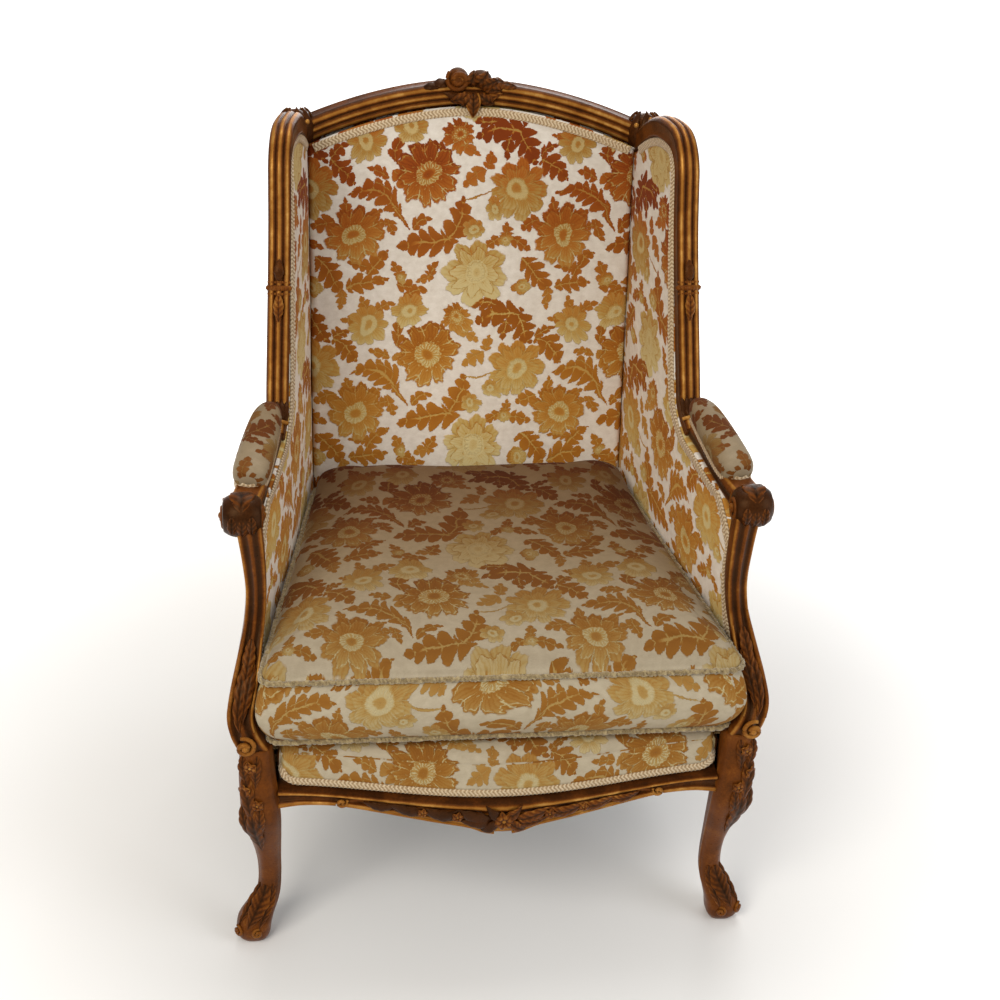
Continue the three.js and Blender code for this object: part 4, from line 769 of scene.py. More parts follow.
def cut_velvet(name, worn, flowers, leaves):
    """Cut and uncut silk velvet on a satin ground: the pile makes the flowers and leaves, rust at the head
    of the back and paler lower down where light and use have faded it, and the ground is silvery cream with
    fine lines across. Towards the foot the cloth is also brightened as painted light, and on worn cloth the
    top is darkened to the rear, partly as soiling and partly as painted shade. worn greys the pile, as on
    the cushion."""
    material, tree, shader = new_material(name, Sheen_Weight=0.03, Sheen_Roughness=0.4,
                                          Specular_IOR_Level=0.15)
    place = add(tree, "TexCoord", out="Object")
    flat = add(tree, "UVMap")
    # the loops' own steps, 1.5 mm, fray each edge
    fray = add(tree, "TexNoise", {"Vector": flat, "Scale": 95.0, "Detail": 2.0}, out="Color")
    fray = add(tree, "VectorMath", [fray, (0.5, 0.5, 0.5)], operation="SUBTRACT")
    flat = add(tree, "VectorMath", [fray, (0.016, 0.018, 0.0), flat], operation="MULTIPLY_ADD")
    flow = add(tree, "TexNoise", {"Vector": flat, "Scale": 7.0, "Detail": 1.0}, out="Color")
    flow = add(tree, "VectorMath", [flow, (0.5, 0.5, 0.5)], operation="SUBTRACT")
    flat = add(tree, "VectorMath", [flow, (0.07, 0.08, 0.0), flat], operation="MULTIPLY_ADD")
    cover, tone, line = 0.0, 0.5, 0.0
    for motifs, group, bent in ((LEAVES, leaves, True), (FLOWERS, flowers, False)):
        spot, numbers, depth = nearest_motif(tree, flat, motifs, bent)
        motif = add(tree, "Group", node_tree=group).node
        tree.links.new(spot, motif.inputs["Place"])
        parts = add(tree, "SeparateXYZ", [numbers]).node
        for number, socket in zip(parts.outputs, motif.inputs[1:]):
            tree.links.new(number, socket)
        # lines are pale on a deep motif and deep on a pale one
        swing = add(tree, "MULTIPLY_ADD", [depth, -1.5, 0.75])
        shade = add(tree, "MULTIPLY_ADD", [motif.outputs["Tone"], -0.4, depth])
        shade = add(tree, "MULTIPLY_ADD", [motif.outputs["Line"], swing, shade])
        cover = add(tree, "MAXIMUM", [cover, motif.outputs["Mask"]])
        tone = add(tree, "Mix", {0: motif.outputs["Mask"], 2: tone, 3: shade})
        line = add(tree, "Mix", {0: motif.outputs["Mask"], 2: line, 3: motif.outputs["Line"]})
    across, along, height = add(tree, "SeparateXYZ", [place]).node.outputs
    aside = add(tree, "ABSOLUTE", [across])
    fade = add(tree, "TexNoise", {"Vector": place, "Scale": 9.0, "Detail": 3.0})
    fade = add(tree, "MULTIPLY_ADD", [fade, 0.22, height])
    fade = add(tree, "MULTIPLY_ADD", [aside, 0.12, fade])
    if worn:
        # on worn cloth the fade is raised and grows towards the rear, where the pile turns rustier and
        # darker: partly less faded there, partly painted shade
        fade = add(tree, "ADD", [fade, 0.3])
        fade = add(tree, "MULTIPLY_ADD", [along, 0.8, fade])
    fade = add(tree, "MapRange", [fade, 0.74, 1.08], interpolation_type="SMOOTHSTEP")
    low = add(tree, "ValToRGB", [tone], stops=[(0.0, "#C3B27F"), (0.3, "#B59552"), (0.55, "#AE7B34"),
                                               (0.8, "#A26822"), (1.0, "#905318")])
    high = add(tree, "ValToRGB", [tone], stops=[(0.0, "#B9A06A"), (0.3, "#9F7838"), (0.55, "#9F581B"),
                                                (0.8, "#8C4310"), (1.0, "#76320B")])
    pile = add(tree, "Mix", {0: fade, 6: low, 7: high}, out=2, data_type="RGBA")
    if worn:
        grey = add(tree, "ValToRGB", [tone], stops=[(0.0, "#A39579"), (0.4, "#8A7346"), (0.8, "#6E4D20")])
        pile = add(tree, "Mix", {0: worn, 6: pile, 7: grey}, out=2, data_type="RGBA")
    # satin: weft lines 1.6 mm apart, coarser than the real 0.3 mm so that they show
    rows = add(tree, "SeparateXYZ", [flat]).node.outputs[1]
    rows = add(tree, "MULTIPLY", [rows, 2 * math.pi * REPEAT_HIGH / 1.6])
    rows = add(tree, "SINE", [rows])
    slub = add(tree, "TexNoise", {"Vector": flat, "Scale": 26.0, "Detail": 5.0, "Roughness": 0.6})
    satin = add(tree, "MULTIPLY_ADD", [rows, 0.05, slub])
    ground = add(tree, "ValToRGB", [satin], stops=[(0.25, "#C8BDAE"), (0.75, "#DED6CA")])
    if worn:
        ground = add(tree, "ValToRGB", [satin], stops=[(0.25, "#A4977F"), (0.75, "#B5A890")])
    colour = add(tree, "Mix", {0: cover, 6: ground, 7: pile}, out=2, data_type="RGBA")
    if worn:
        # the top is darkened, most of all towards its rear: partly soiling from use, partly painted shade
        # towards the back
        soil_and_painted_shade = add(tree, "MapRange", [along, -0.33, 0.15])
        soil_and_painted_shade = add(tree, "ValToRGB", [soil_and_painted_shade], stops=[(0.0, "#E2DFDC"), (0.5, "#C2B5A4"), (1.0, "#9C826A")])
        top = add(tree, "MapRange", [height, 0.452, 0.47])
        colour = add(tree, "Mix", {0: top, 6: colour, 7: soil_and_painted_shade}, out=2, data_type="RGBA",
                     blend_type="MULTIPLY")
    else:
        # painted light: the colour is brightened towards the foot, 1.28 times at 0.45 m and below and easing
        # to none at 0.85 m, to make up for the shade that the cushion casts on the foot of the back and
        # sides
        lift = add(tree, "MapRange", [height, 0.45, 0.85, 1.28])
        colour = add(tree, "VectorMath", {0: colour, "Scale": lift}, operation="SCALE")
    nap = add(tree, "TexNoise", {"Vector": place, "Scale": 700.0, "Detail": 2.0})
    rough = add(tree, "MapRange", [cover, 0.0, 1.0, 0.5, 0.9])
    raised = add(tree, "MULTIPLY_ADD", [line, -0.5, cover])
    raised = add(tree, "MULTIPLY_ADD", [nap, 0.25, raised])
    raised = add(tree, "MULTIPLY_ADD", [satin, 0.12, raised])
    normal = add(tree, "Bump", {"Strength": 0.8, "Distance": 0.0012, "Height": raised})
    set_shader(tree, shader, {"Base Color": colour, "Roughness": rough, "Normal": normal})
    return material


flower, leaf_motif = flower_group(), leaf_group()
FINISH = {
    "gilded_wood": gilded_wood(),
    "bare_beech": bare_beech(),
    "velvet": cut_velvet("silk_cut_velvet", 0.0, flower, leaf_motif),
    "worn_velvet": cut_velvet("worn_silk_cut_velvet", 0.5, flower, leaf_motif),
    "jute": woven("jute_webbing", 3.2, "#5C4526", "#B79A68", 0.9, 0.0012),
    "cambric": woven("black_cambric", 1.6, "#15120F", "#332E29", 0.85, 0.0003),
    "spring_steel": spring_steel(),
    "gimp": braid_gimp(),
    "fringe": moss_fringe(),
}


# Making a piece
def piece(name, part, finish, nodes=(), body="chair"):
    """Puts a part into a mesh object in metres, with its UVs, relief attribute, finish and body. Its slot
    is its finish."""
    points = (part.points + [0, CENTRE_Y, 0]) / 1000
    sizes = np.concatenate([np.full(len(face), face.shape[1]) for face in part.faces])
    loops = np.concatenate([face.ravel() for face in part.faces])
    mesh = bpy.data.meshes.new(name)
    mesh.vertices.add(len(points))
    mesh.vertices.foreach_set("co", points.astype(np.float32).ravel())
    mesh.loops.add(len(loops))
    mesh.loops.foreach_set("vertex_index", loops.astype(np.int32))
    mesh.polygons.add(len(sizes))
    starts = np.concatenate([[0], np.cumsum(sizes)[:-1]])
    mesh.polygons.foreach_set("loop_start", starts.astype(np.int32))
    mesh.update(calc_edges=True)
    mesh.polygons.foreach_set("use_smooth", np.ones(len(sizes), bool))
    corner = np.concatenate([uv.reshape(-1, 2) for uv in part.corner_uv])
    mesh.uv_layers.new(name="UVMap").uv.foreach_set("vector", corner.astype(np.float32).ravel())
    shine = mesh.attributes.new("relief", "FLOAT", "POINT")
    shine.data.foreach_set("value", part.relief.astype(np.float32))
    mesh.materials.append(FINISH[finish])
    made = bpy.data.objects.new(name, mesh)
    bpy.context.scene.collection.objects.link(made)
    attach(made, body)
    if nodes:
        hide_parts(*nodes)
    return made


def pair(name, part, finish, node=None):
    """The piece on the right and its mirror image on the left."""
    right = piece("right_" + name, part, finish, ["right_" + node] if node else ())
    left = piece("left_" + name, part.mirrored(), finish, ["left_" + node] if node else ())
    return right, left


# The carved frame
def bezier(spots):
    """A curve pulled by its places: Bernstein weights of each over the share."""
    spots = np.asarray(spots, float)
    t = np.linspace(0, 1, 14)[:, None]
    last = len(spots) - 1
    weights = [math.comb(last, k) * t ** k * (1 - t) ** (last - k) for k in range(last + 1)]
    return sum(w * p for w, p in zip(weights, spots))


FRONT_LEG = [
    [1.078, -0.779, 0.000, 0.70, 0.70],
    [1.078, -0.782, 0.040, 0.92, 0.90],
    [1.070, -0.782, 0.113, 0.96, 0.94],
    [1.036, -0.772, 0.207, 0.78, 0.80],
    [1.005, -0.761, 0.301, 0.62, 0.64],
    [0.992, -0.762, 0.414, 0.58, 0.60],
    [0.987, -0.776, 0.564, 0.63, 0.66],
    [0.987, -0.806, 0.752, 0.84, 0.87],
    [0.990, -0.824, 0.902, 1.00, 1.00],
    [0.995, -0.816, 1.250, 0.97, 1.00],
    [1.001, -0.800, 1.786, 0.93, 0.95],
    [1.000, -0.792, 2.074, 0.86, 0.86],
]
REAR_LEG = [
    [1.327, 0.979, 0.000, 0.78, 0.78],
    [1.272, 0.926, 0.226, 0.82, 0.82],
    [1.192, 0.837, 0.564, 0.94, 0.98],
    [1.144, 0.774, 0.902, 1.10, 1.16],
    [1.129, 0.753, 1.429, 1.10, 1.20],
]
WING = [
    [0.79, 0.905, 3.915, 1.0, 1.0],
    [0.66, 0.800, 3.985, 1.0, 1.0],
    [0.52, 0.689, 4.052, 0.97, 1.0],
    [0.43, 0.589, 4.086, 0.95, 1.0],
    [0.43, 0.490, 4.090, 0.95, 1.0],
    [0.43, 0.435, 4.076, 0.95, 1.0],
    [0.43, 0.393, 4.040, 0.95, 1.0],
    [0.43, 0.364, 3.990, 0.95, 1.0],
    [0.43, 0.345, 3.925, 0.95, 1.0],
    [0.43, 0.303, 3.775, 0.95, 1.0],
    [0.43, 0.229, 3.564, 0.95, 1.0],
    [0.43, 0.100, 3.222, 0.95, 1.0],
    [0.40, 0.055, 3.135, 0.92, 0.9],
    [0.36, -0.030, 3.075, 0.80, 0.8],
]
ARM_RAIL = [
    [0.85, 0.789, 3.055, 0.73, 0.90],
    [0.85, 0.474, 3.077, 0.73, 0.90],
    [0.80, 0.211, 3.088, 0.80, 0.92],
    [0.66, 0.053, 3.082, 1.12, 0.95],
    [0.61, -0.132, 3.068, 1.20, 0.98],
    [0.61, -0.297, 3.038, 1.20, 1.00],
    [0.61, -0.395, 3.027, 1.25, 1.10],
    [0.64, -0.485, 3.022, 1.25, 1.20],
]
KNUCKLE = [0.64, -0.503, 3.018]
ARM_SUPPORT = [
    [0.39, -0.516, 3.000, 1.06, 1.06],
    [0.24, -0.537, 2.849, 0.94, 1.00],
    [0.18, -0.553, 2.698, 0.84, 1.03],
    [0.24, -0.584, 2.564, 0.86, 1.06],
    [0.38, -0.642, 2.430, 0.92, 1.13],
    [0.53, -0.705, 2.312, 1.00, 1.20],
    [0.61, -0.750, 2.221, 1.06, 1.26],
    [0.42, -0.782, 2.144, 1.18, 1.32],
    [0.10, -0.791, 2.075, 1.28, 1.36],
]
SIDE_RAIL = [
    [0.68, 0.70],
    [0.60, 0.50],
    [0.50, 0.15],
    [0.42, -0.25],
    [0.30, -0.60],
    [0.10, -0.80],
]
APRON = [[0, 0.96], [0.07, 0.90], [0.15, 0.66], [0.30, 0.47], [0.48, 0.28], [0.66, 0.13], [0.80, 0.14],
         [0.88, 0.24], [0.945, 0.37]]
FRONT_HALF = side_x((FRONT_FACE_Y + FRONT_REAR_Y) / 2, (RAIL_FOOT + RAIL_TOP) / 2)


CREST_HALF = POST_REACH * side_x(POST_FOOT + POST_RAKE, SHOULDER)


def crest_spot(share, up=0.0, out=0.0):
    """A place on the crest's arch: height falls from the middle with the share to the power 1.85, and the
    arch bows to the rear by a parabola. up and out move it off the centre line."""
    share = np.asarray(share, float)
    z = SHOULDER - 21 + 58 * (1 - np.abs(share) ** 1.85)
    y = POST_FOOT + POST_RAKE + BACK_BOW * (1 - share ** 2)
    return together(share * CREST_HALF, y - out, z + up)


def front_y(x):
    """The front rail's serpentine face: a squared cosine over its width."""
    return FRONT_FACE_Y - FRONT_BOW * np.cos(np.pi * x / (2 * FRONT_HALF)) ** 2


def gimp_line(x):
    """The line where the border meets the rail."""
    return RAIL_FOOT + 15 - 5 * (1 - (x / FRONT_HALF) ** 2)


def apron_low(x):
    """The apron's lower edge, through its table."""
    table = np.array(APRON)
    mirror = np.concatenate([table[:0:-1] * [-1, 1], table])
    rows = smooth_rows(np.column_stack([mirror[:, 0], mirror[:, 1], np.zeros(len(mirror))]), 0.01)
    return RAIL_FOOT - 42 * np.interp(x / FRONT_HALF, rows[:, 0], rows[:, 1])


def crest_rail():
    """The reeded arch with its cresting: a coiled rosette left of the middle, a mass of leaves right of it,
    small leaves down both shoulders, and a pendant leaf over the cloth."""
    share = np.linspace(-1, 1, 60)
    rows = np.column_stack([crest_spot(share), np.full((60, 2), RAIL)])
    parts = [sweep(rows, UPWARD, reeded, 1.8)]
    middle = crest_spot(-0.085, 23, 6)
    parts.append(ball(middle, (16, 16, 16), 20, 12, 0.4))
    parts.append(rod(spiral(middle + FORWARD * 9, SIDEWAYS, UPWARD, 18, 1.6, 2.4, FORWARD * 6), 4.4, 0.5,
                     taper=0.5))
    parts += rosette(middle + FORWARD * 9, SIDEWAYS, UPWARD, 11, 6, 5)
    fan = [(-0.02, 12, 5, 75, 20, 24), (0.01, 14, 8, 48, 20, 28), (0.03, 14, 8, 18, 20, 30),
           (0.05, 12, 6, -8, 18, 32), (0.03, 2, 10, -30, 17, 28), (-0.02, 2, 11, 200, 17, 30),
           (0.0, 2, 12, 228, 16, 24)]
    for start, up, out, angle, wide, long in fan:
        a = math.radians(angle)
        way = np.array([math.cos(a), 0, math.sin(a)])
        side = np.array([-math.sin(a), 0, math.cos(a)])
        foot = crest_spot(start, up, out + 6)
        curve = bezier([foot, foot + way * long * 0.4 + FORWARD * 11, foot + way * long * 0.8 + FORWARD * 8,
                        foot + way * long - FORWARD])
        parts.append(leaf(curve, side, wide, 8, 3, 5, shine=-0.06))
    parts.append(ball(crest_spot(0.045, 21, 4), (17, 14, 14), 18, 10, 0.35))
    for start, end, up, wide in [(0.09, 0.2, 15, 19), (0.13, 0.27, 12, 15), (-0.14, -0.24, 14, 18),
                                 (-0.18, -0.3, 11, 14)]:
        curve = crest_spot(np.linspace(start, end, 8))
        lift = np.sin(np.linspace(0.3, math.pi, 8))[:, None]
        curve = curve + UPWARD * (up + 5 * lift) + FORWARD * (7 + 4 * lift)
        parts.append(leaf(curve, unit(UPWARD * 0.6 - FORWARD * 0.8), wide, 8, 3, 5, shine=-0.06))
    for side in (-1, 1):
        curve = bezier([crest_spot(0.025 * side, 4, 19), crest_spot(0.06 * side, -8, 25),
                        crest_spot(0.012 * side, -22, 30), crest_spot(0.0, -30, 27)])
        parts.append(rod(curve, 2.3, 0.8, hint=SIDEWAYS, taper=0.6))
        curve = bezier([crest_spot(0.03 * side, 0, 18), crest_spot(0.09 * side, -8, 22),
                        crest_spot(0.13 * side, 4, 20), crest_spot(0.17 * side, 6, 17)])
        parts.append(leaf(curve, UPWARD, 12, 6, 3, 4, shine=0.1))
    curve = bezier([crest_spot(0, 4, 19), crest_spot(0, -8, 29), crest_spot(0, -20, 32),
                    crest_spot(0, -30, 27)])
    parts.append(leaf(curve, SIDEWAYS, 19, 7, 3, 5, shine=-0.04))
    return joined(parts)


def back_post():
    """The raked rear leg and post in one run of square rings with round corners, its edge worn bright, with
    leaves wrapped round the clasp where the crest, the wing and the post meet."""
    post_level = np.array([2, 2.6, 3.3, 4.03])
    z = level(post_level)
    wide = POST * np.array([1.05, 0.95, 0.95, 0.95])
    upper = np.column_stack([POST_REACH * side_x(post_y(z), z), post_y(z), z, wide, wide])
    rows = np.concatenate([leg_rows(REAR_LEG, POST), upper])

    def worn_corner(along, u, v):
        corner = np.minimum(np.abs(u) / np.abs(u).max(axis=1, keepdims=True),
                            np.abs(v) / np.abs(v).max(axis=1, keepdims=True))
        return np.zeros_like(u), 0.3 + 0.6 * ease(corner, 0.6, 0.95)

    parts = [sweep(rows, SIDEWAYS, rounded(36, 4), 4, worn_corner, True)]
    z = float(level(3.965))
    middle = np.array([POST_REACH * side_x(post_y(z), z), post_y(z), z])
    size = np.array([0.68, 0.62, 0.88]) * POST
    parts.append(ball(middle, size * 0.9, 24, 14, 0.35))
    for angle, high, wide, thick in [(-95, 1.0, 25, 8), (-52, 0.95, 21, 8), (-138, 0.95, 21, 8),
                                     (-10, 0.9, 22, 7), (172, 0.9, 20, 7), (45, 0.8, 24, 7),
                                     (120, 0.8, 24, 7)]:
        a = math.radians(angle)
        way = np.array([math.cos(a), math.sin(a), 0])
        side = np.array([-math.sin(a), math.cos(a), 0])
        curve = bezier([middle + way * size * 0.5 - UPWARD * size[2] * 1.05, middle + way * size * 1.3
                        - UPWARD * size[2] * 0.3, middle + way * size * 1.15 + UPWARD * size[2] * 0.7,
                        middle + way * size * 0.5 + UPWARD * size[2] * high * 1.1])
        parts.append(leaf(curve, side, wide, thick, 4, 6, shine=0.08))
    parts.append(ball(middle + [-16, -17, 15], (4.2, 4.2, 4.2), shine=1.1))
    parts.append(ball(middle + [4, -19, 24], (4.2, 4.2, 4.2), shine=1.1))
    return joined(parts)


def wing_rail():
    """The ear's reeded rail, with a ring of beads across it half way down, a leaf below the ring and a
    carved collar at its foot."""
    rows = side_rows(WING, RAIL, WING_DEPTH)
    parts = [sweep(rows, SIDEWAYS, reeded, 1.8)]
    line = smooth_rows(rows, 2)
    spots = line[:, :3]
    _, across, up = frames_along(spots, SIDEWAYS)
    bead = int(np.argmin(np.linalg.norm(spots - rows[10, :3], axis=1)))
    for index, size in ((bead - 4, 2.2), (bead, 4.6), (bead + 4, 2.2)):
        for t in np.linspace(-1, 1, 7):
            place = spots[index] + across[index] * t * 13.8 + up[index] * (14.2 - 4.5 * t * t)
            parts.append(ball(place, (size, size * 0.9, size * 0.9), 10, 6, 0.62))
    for start, end, wide in ((bead + 5, bead + 24, 15), (bead - 5, bead - 20, 14)):
        step = np.linspace(start, end, 9).astype(int)
        lift = 14 + 4.5 * np.sin(np.linspace(0.5, math.pi, 9))[:, None]
        parts.append(leaf(spots[step] + up[step] * lift, across[bead], wide, 6, 4, 5, shine=0.14))
    foot = len(spots) - 9
    for t in np.linspace(-1, 1, 5):
        step = np.linspace(foot, foot - 20, 9).astype(int)
        lift = 11 + 5 * np.sin(np.linspace(0.4, math.pi * 0.9, 9))[:, None] - 3 * t * t
        parts.append(leaf(spots[step] + up[step] * lift + across[step] * t * 12, across[foot], 11, 6, 2, 4))
    parts.append(rod(np.array([spots[foot] + across[foot] * t * 17 + up[foot] * (13 - 4 * t * t)
                               for t in np.linspace(-1, 1, 9)]), 3.2, 0.9, taper=0.8))
    return joined(parts)


def arm_rail():
    """The arm's shaped rail and its knuckle: a drum rolled over to the front, with a volute cut in each
    side, leaves over its brow, and a neck."""
    rows = side_rows(ARM_RAIL, ARM + 3, ARM)

    def moulded(along, u, v):
        edge = np.exp(-((np.abs(u) / np.abs(u).max() - 0.78) / 0.1) ** 2) * (v > 0)
        hollow = -1.3 * np.exp(-((v / np.abs(v).max() + 0.1) / 0.3) ** 2)
        return 1.2 * edge + hollow, 0.25 + 0.7 * edge

    parts = [sweep(rows, SIDEWAYS, rounded(64, 3.2), 2.5, moulded)]
    y = KNUCKLE[1] * HALF_DEPTH
    z = float(level(KNUCKLE[2]))
    middle = np.array([side_x(y, z) + KNUCKLE[0] * RAIL, y, z])
    turn = np.linspace(0, 2 * np.pi, 73)[:-1]
    share = np.linspace(-1, 1, 41)[:, None]
    radius = 27.5 * (1 - 0.3 * np.abs(share) ** 2.6)
    radius = np.where(np.abs(share) > 0.985, radius * 0.8, radius)
    grid = together(middle[0] + share * 25, middle[1] + radius * np.sin(turn) * 1.04,
                    middle[2] + radius * np.cos(turn) * 1.06)
    parts.append(ring_part(grid, np.full(grid.shape[:2], 0.22)))
    for side in (-1, 1):
        hub = middle + [side * 25.0, 0, 0]
        curl = spiral(hub - [side * 2.0, 0, 0], FORWARD, UPWARD, 21, 1.75, 2.2, [side * 4.0, 0, 0])
        parts.append(rod(curl, 3.0, 0.6, hint=SIDEWAYS, taper=0.6))
        parts.append(ball(hub + [side * 1.5, 0, 0], (4.5, 5, 5), 12, 8, 0.7))
    for t, first, last, wide in ((0, -0.9, 1.1, 34), (-0.5, 1.2, 2.3, 13), (0.5, 1.2, 2.3, 13),
                                 (0, 1.3, 2.5, 15)):
        angles = np.linspace(first, last, 12)
        curve = np.stack([np.full(12, middle[0] + t * 25), middle[1] - 27.0 * np.sin(angles),
                          middle[2] + 28.0 * np.cos(angles)], axis=1)
        parts.append(leaf(curve, SIDEWAYS, wide, 5.5, 3, 5, shine=-0.1))
    return joined(parts)


def arm_support():
    """The arm's post: rings that sweep out and forward to the seat. Two bright ridges and a fine one between
    run down it, leaves lie where it widens, and a C scroll coils at its foot."""
    rows = side_rows(ARM_SUPPORT, SUPPORT, SUPPORT)

    def ridged(along, u, v):
        side = u / np.abs(u).max(axis=1, keepdims=True)
        front = v < 0
        ridge = (np.exp(-((np.abs(side) - 0.82) / 0.12) ** 2) + 0.8 * np.exp(-(side / 0.12) ** 2)) * front
        hollow = np.exp(-((np.abs(side) - 0.42) / 0.2) ** 2) * front
        return 2.0 * ridge - 2.0 * hollow, 0.34 + 0.6 * ridge ** 3

    body = sweep(rows, SIDEWAYS, rounded(72, 3.4), 2.0, ridged, True)
    parts = [body]
    line = smooth_rows(rows, 2)
    n = len(line)

    def face(share, across, out):
        """A place on the front of the support, at a share of its run and of its half width."""
        at = np.clip(np.asarray(share) * (n - 1), 0, n - 1)
        x, y, z, w, d = [np.interp(at, np.arange(n), c) for c in line.T]
        return together(x + across * w / 2, y - d / 2 - out, z)

    t = np.linspace(0, 1, 12)
    for start, end, side in ((0.62, 0.9, 0.35), (0.6, 0.86, -0.35), (0.5, 0.72, 0.1)):
        curve = face(start + (end - start) * t, side * (1 - 0.5 * t), 1.5 + 5 * np.sin(np.pi * t))
        parts.append(leaf(curve, SIDEWAYS, 17, 5, 4, 6, shine=-0.04))
    hub = face(0.965, 0.25, 2)
    parts.append(rod(spiral(hub, SIDEWAYS, UPWARD, 15, 1.5, 1.2, FORWARD * 4), 3.6, 0.72, taper=0.6))
    parts.append(ball(hub + FORWARD * 4, (4.5, 4.5, 4.5), 12, 8, 0.8))
    bend = np.sin(np.pi * t)
    parts.append(rod(face(0.43 + 0.48 * t, 0.8 + 0.15 * bend, 2.5 * bend - 1), 3.2, 0.6, taper=0.5))
    parts.append(rod(face(0.5 + 0.4 * t, -0.82 - 0.1 * bend, 2.5 * bend - 1), 2.2, 0.85, taper=0.5))
    return joined(parts)


def front_leg():
    """The cabriole leg: rounded square rings down the table's S. A moulded edge runs down each side from the
    knee, a flower and leaves are cut on the knee, and the foot is a scroll under a leaf."""
    rows = leg_rows(FRONT_LEG, LEG)

    def moulded(along, u, v):
        angle = np.arctan2(v, u)
        fade = ease(along, 0.12, 0.2) * (1 - ease(along, 0.82, 0.95))
        ridge = np.exp(-((angle + 0.25) / 0.13) ** 2) + np.exp(-((angle + 2.75) / 0.13) ** 2)
        return 1.6 * ridge * fade, 0.36 + 0.3 * ridge * fade

    parts = [sweep(rows, SIDEWAYS, rounded(72, 2.8), 2.0, moulded, True)]
    line = smooth_rows(rows, 2)

    def skin(z, angle, out=0.0):
        """A place on the leg at a height, turned from the front towards the outside."""
        x, y, w, d = [np.interp(z, line[:, 2], c) for c in (line[:, 0], line[:, 1], line[:, 3], line[:, 4])]
        a = np.radians(angle)
        reach = (np.abs(np.sin(a)) ** 2.8 + np.abs(np.cos(a)) ** 2.8) ** (-1 / 2.8)
        return together(x + np.sin(a) * (reach * w / 2 + out), y - np.cos(a) * (reach * d / 2 + out),
                        z + 0 * a)

    across = unit(np.cross(UPWARD, unit(skin(236.0, 12.0, 10.0) - skin(236.0, 12.0, 3.0))))
    t = np.linspace(0, 1, 12)
    for turn, place, size in ((38, 288, 11), (6, 268, 9), (18, 322, 10)):
        spot = skin(float(place), float(turn), 0.0)
        out = unit(skin(float(place), float(turn), 9.0) - spot)
        parts += rosette(spot, unit(np.cross(UPWARD, out)), UPWARD, size, 5, 4)
    for turn, top, foot, wide in ((34, 312, 240, 20), (24, 258, 172, 22), (58, 262, 196, 15),
                                  (0, 262, 214, 15), (-4, 338, 292, 14), (44, 338, 296, 15)):
        curve = skin(top + (foot - top) * t, turn + (18 - turn) * 0.5 * t, -0.5 + 3.0 * np.sin(np.pi * t))
        parts.append(leaf(curve, across, wide, 5, 4, 6, shine=-0.08))
    for turn, size in ((52, 9), (-12, 8)):
        hub = skin(22.0, float(turn), 0.0)
        out = unit(skin(22.0, float(turn), 9.0) - hub)
        flat = unit(np.cross(UPWARD, out))
        parts.append(rod(spiral(hub, flat * np.sign(turn), UPWARD, size, 1.4, 1.2, out * 2.5), 2.6, 0.62,
                         hint=out, taper=0.6))
    for turn, wide in ((22, 26), (56, 15), (-14, 15)):
        curve = skin(96 - 66 * t, turn + 0 * t, -0.5 + 3.0 * np.sin(np.pi * t * 0.9))
        parts.append(leaf(curve, across, wide, 5, 4, 7, shine=-0.06))
    return joined(parts)


FRONT_FACE = np.array([[0.52, 0], [0.3, 0.0], [0.18, 0.02], [0.05, 0.07], [0, 0.16], [0.06, 0.25],
                       [0.16, 0.3], [0.2, 0.42], [0.2, 0.55], [0.13, 0.66], [0.04, 0.74], [0.0, 0.82],
                       [0.02, 0.9], [0.1, 0.97], [0.22, 1]])


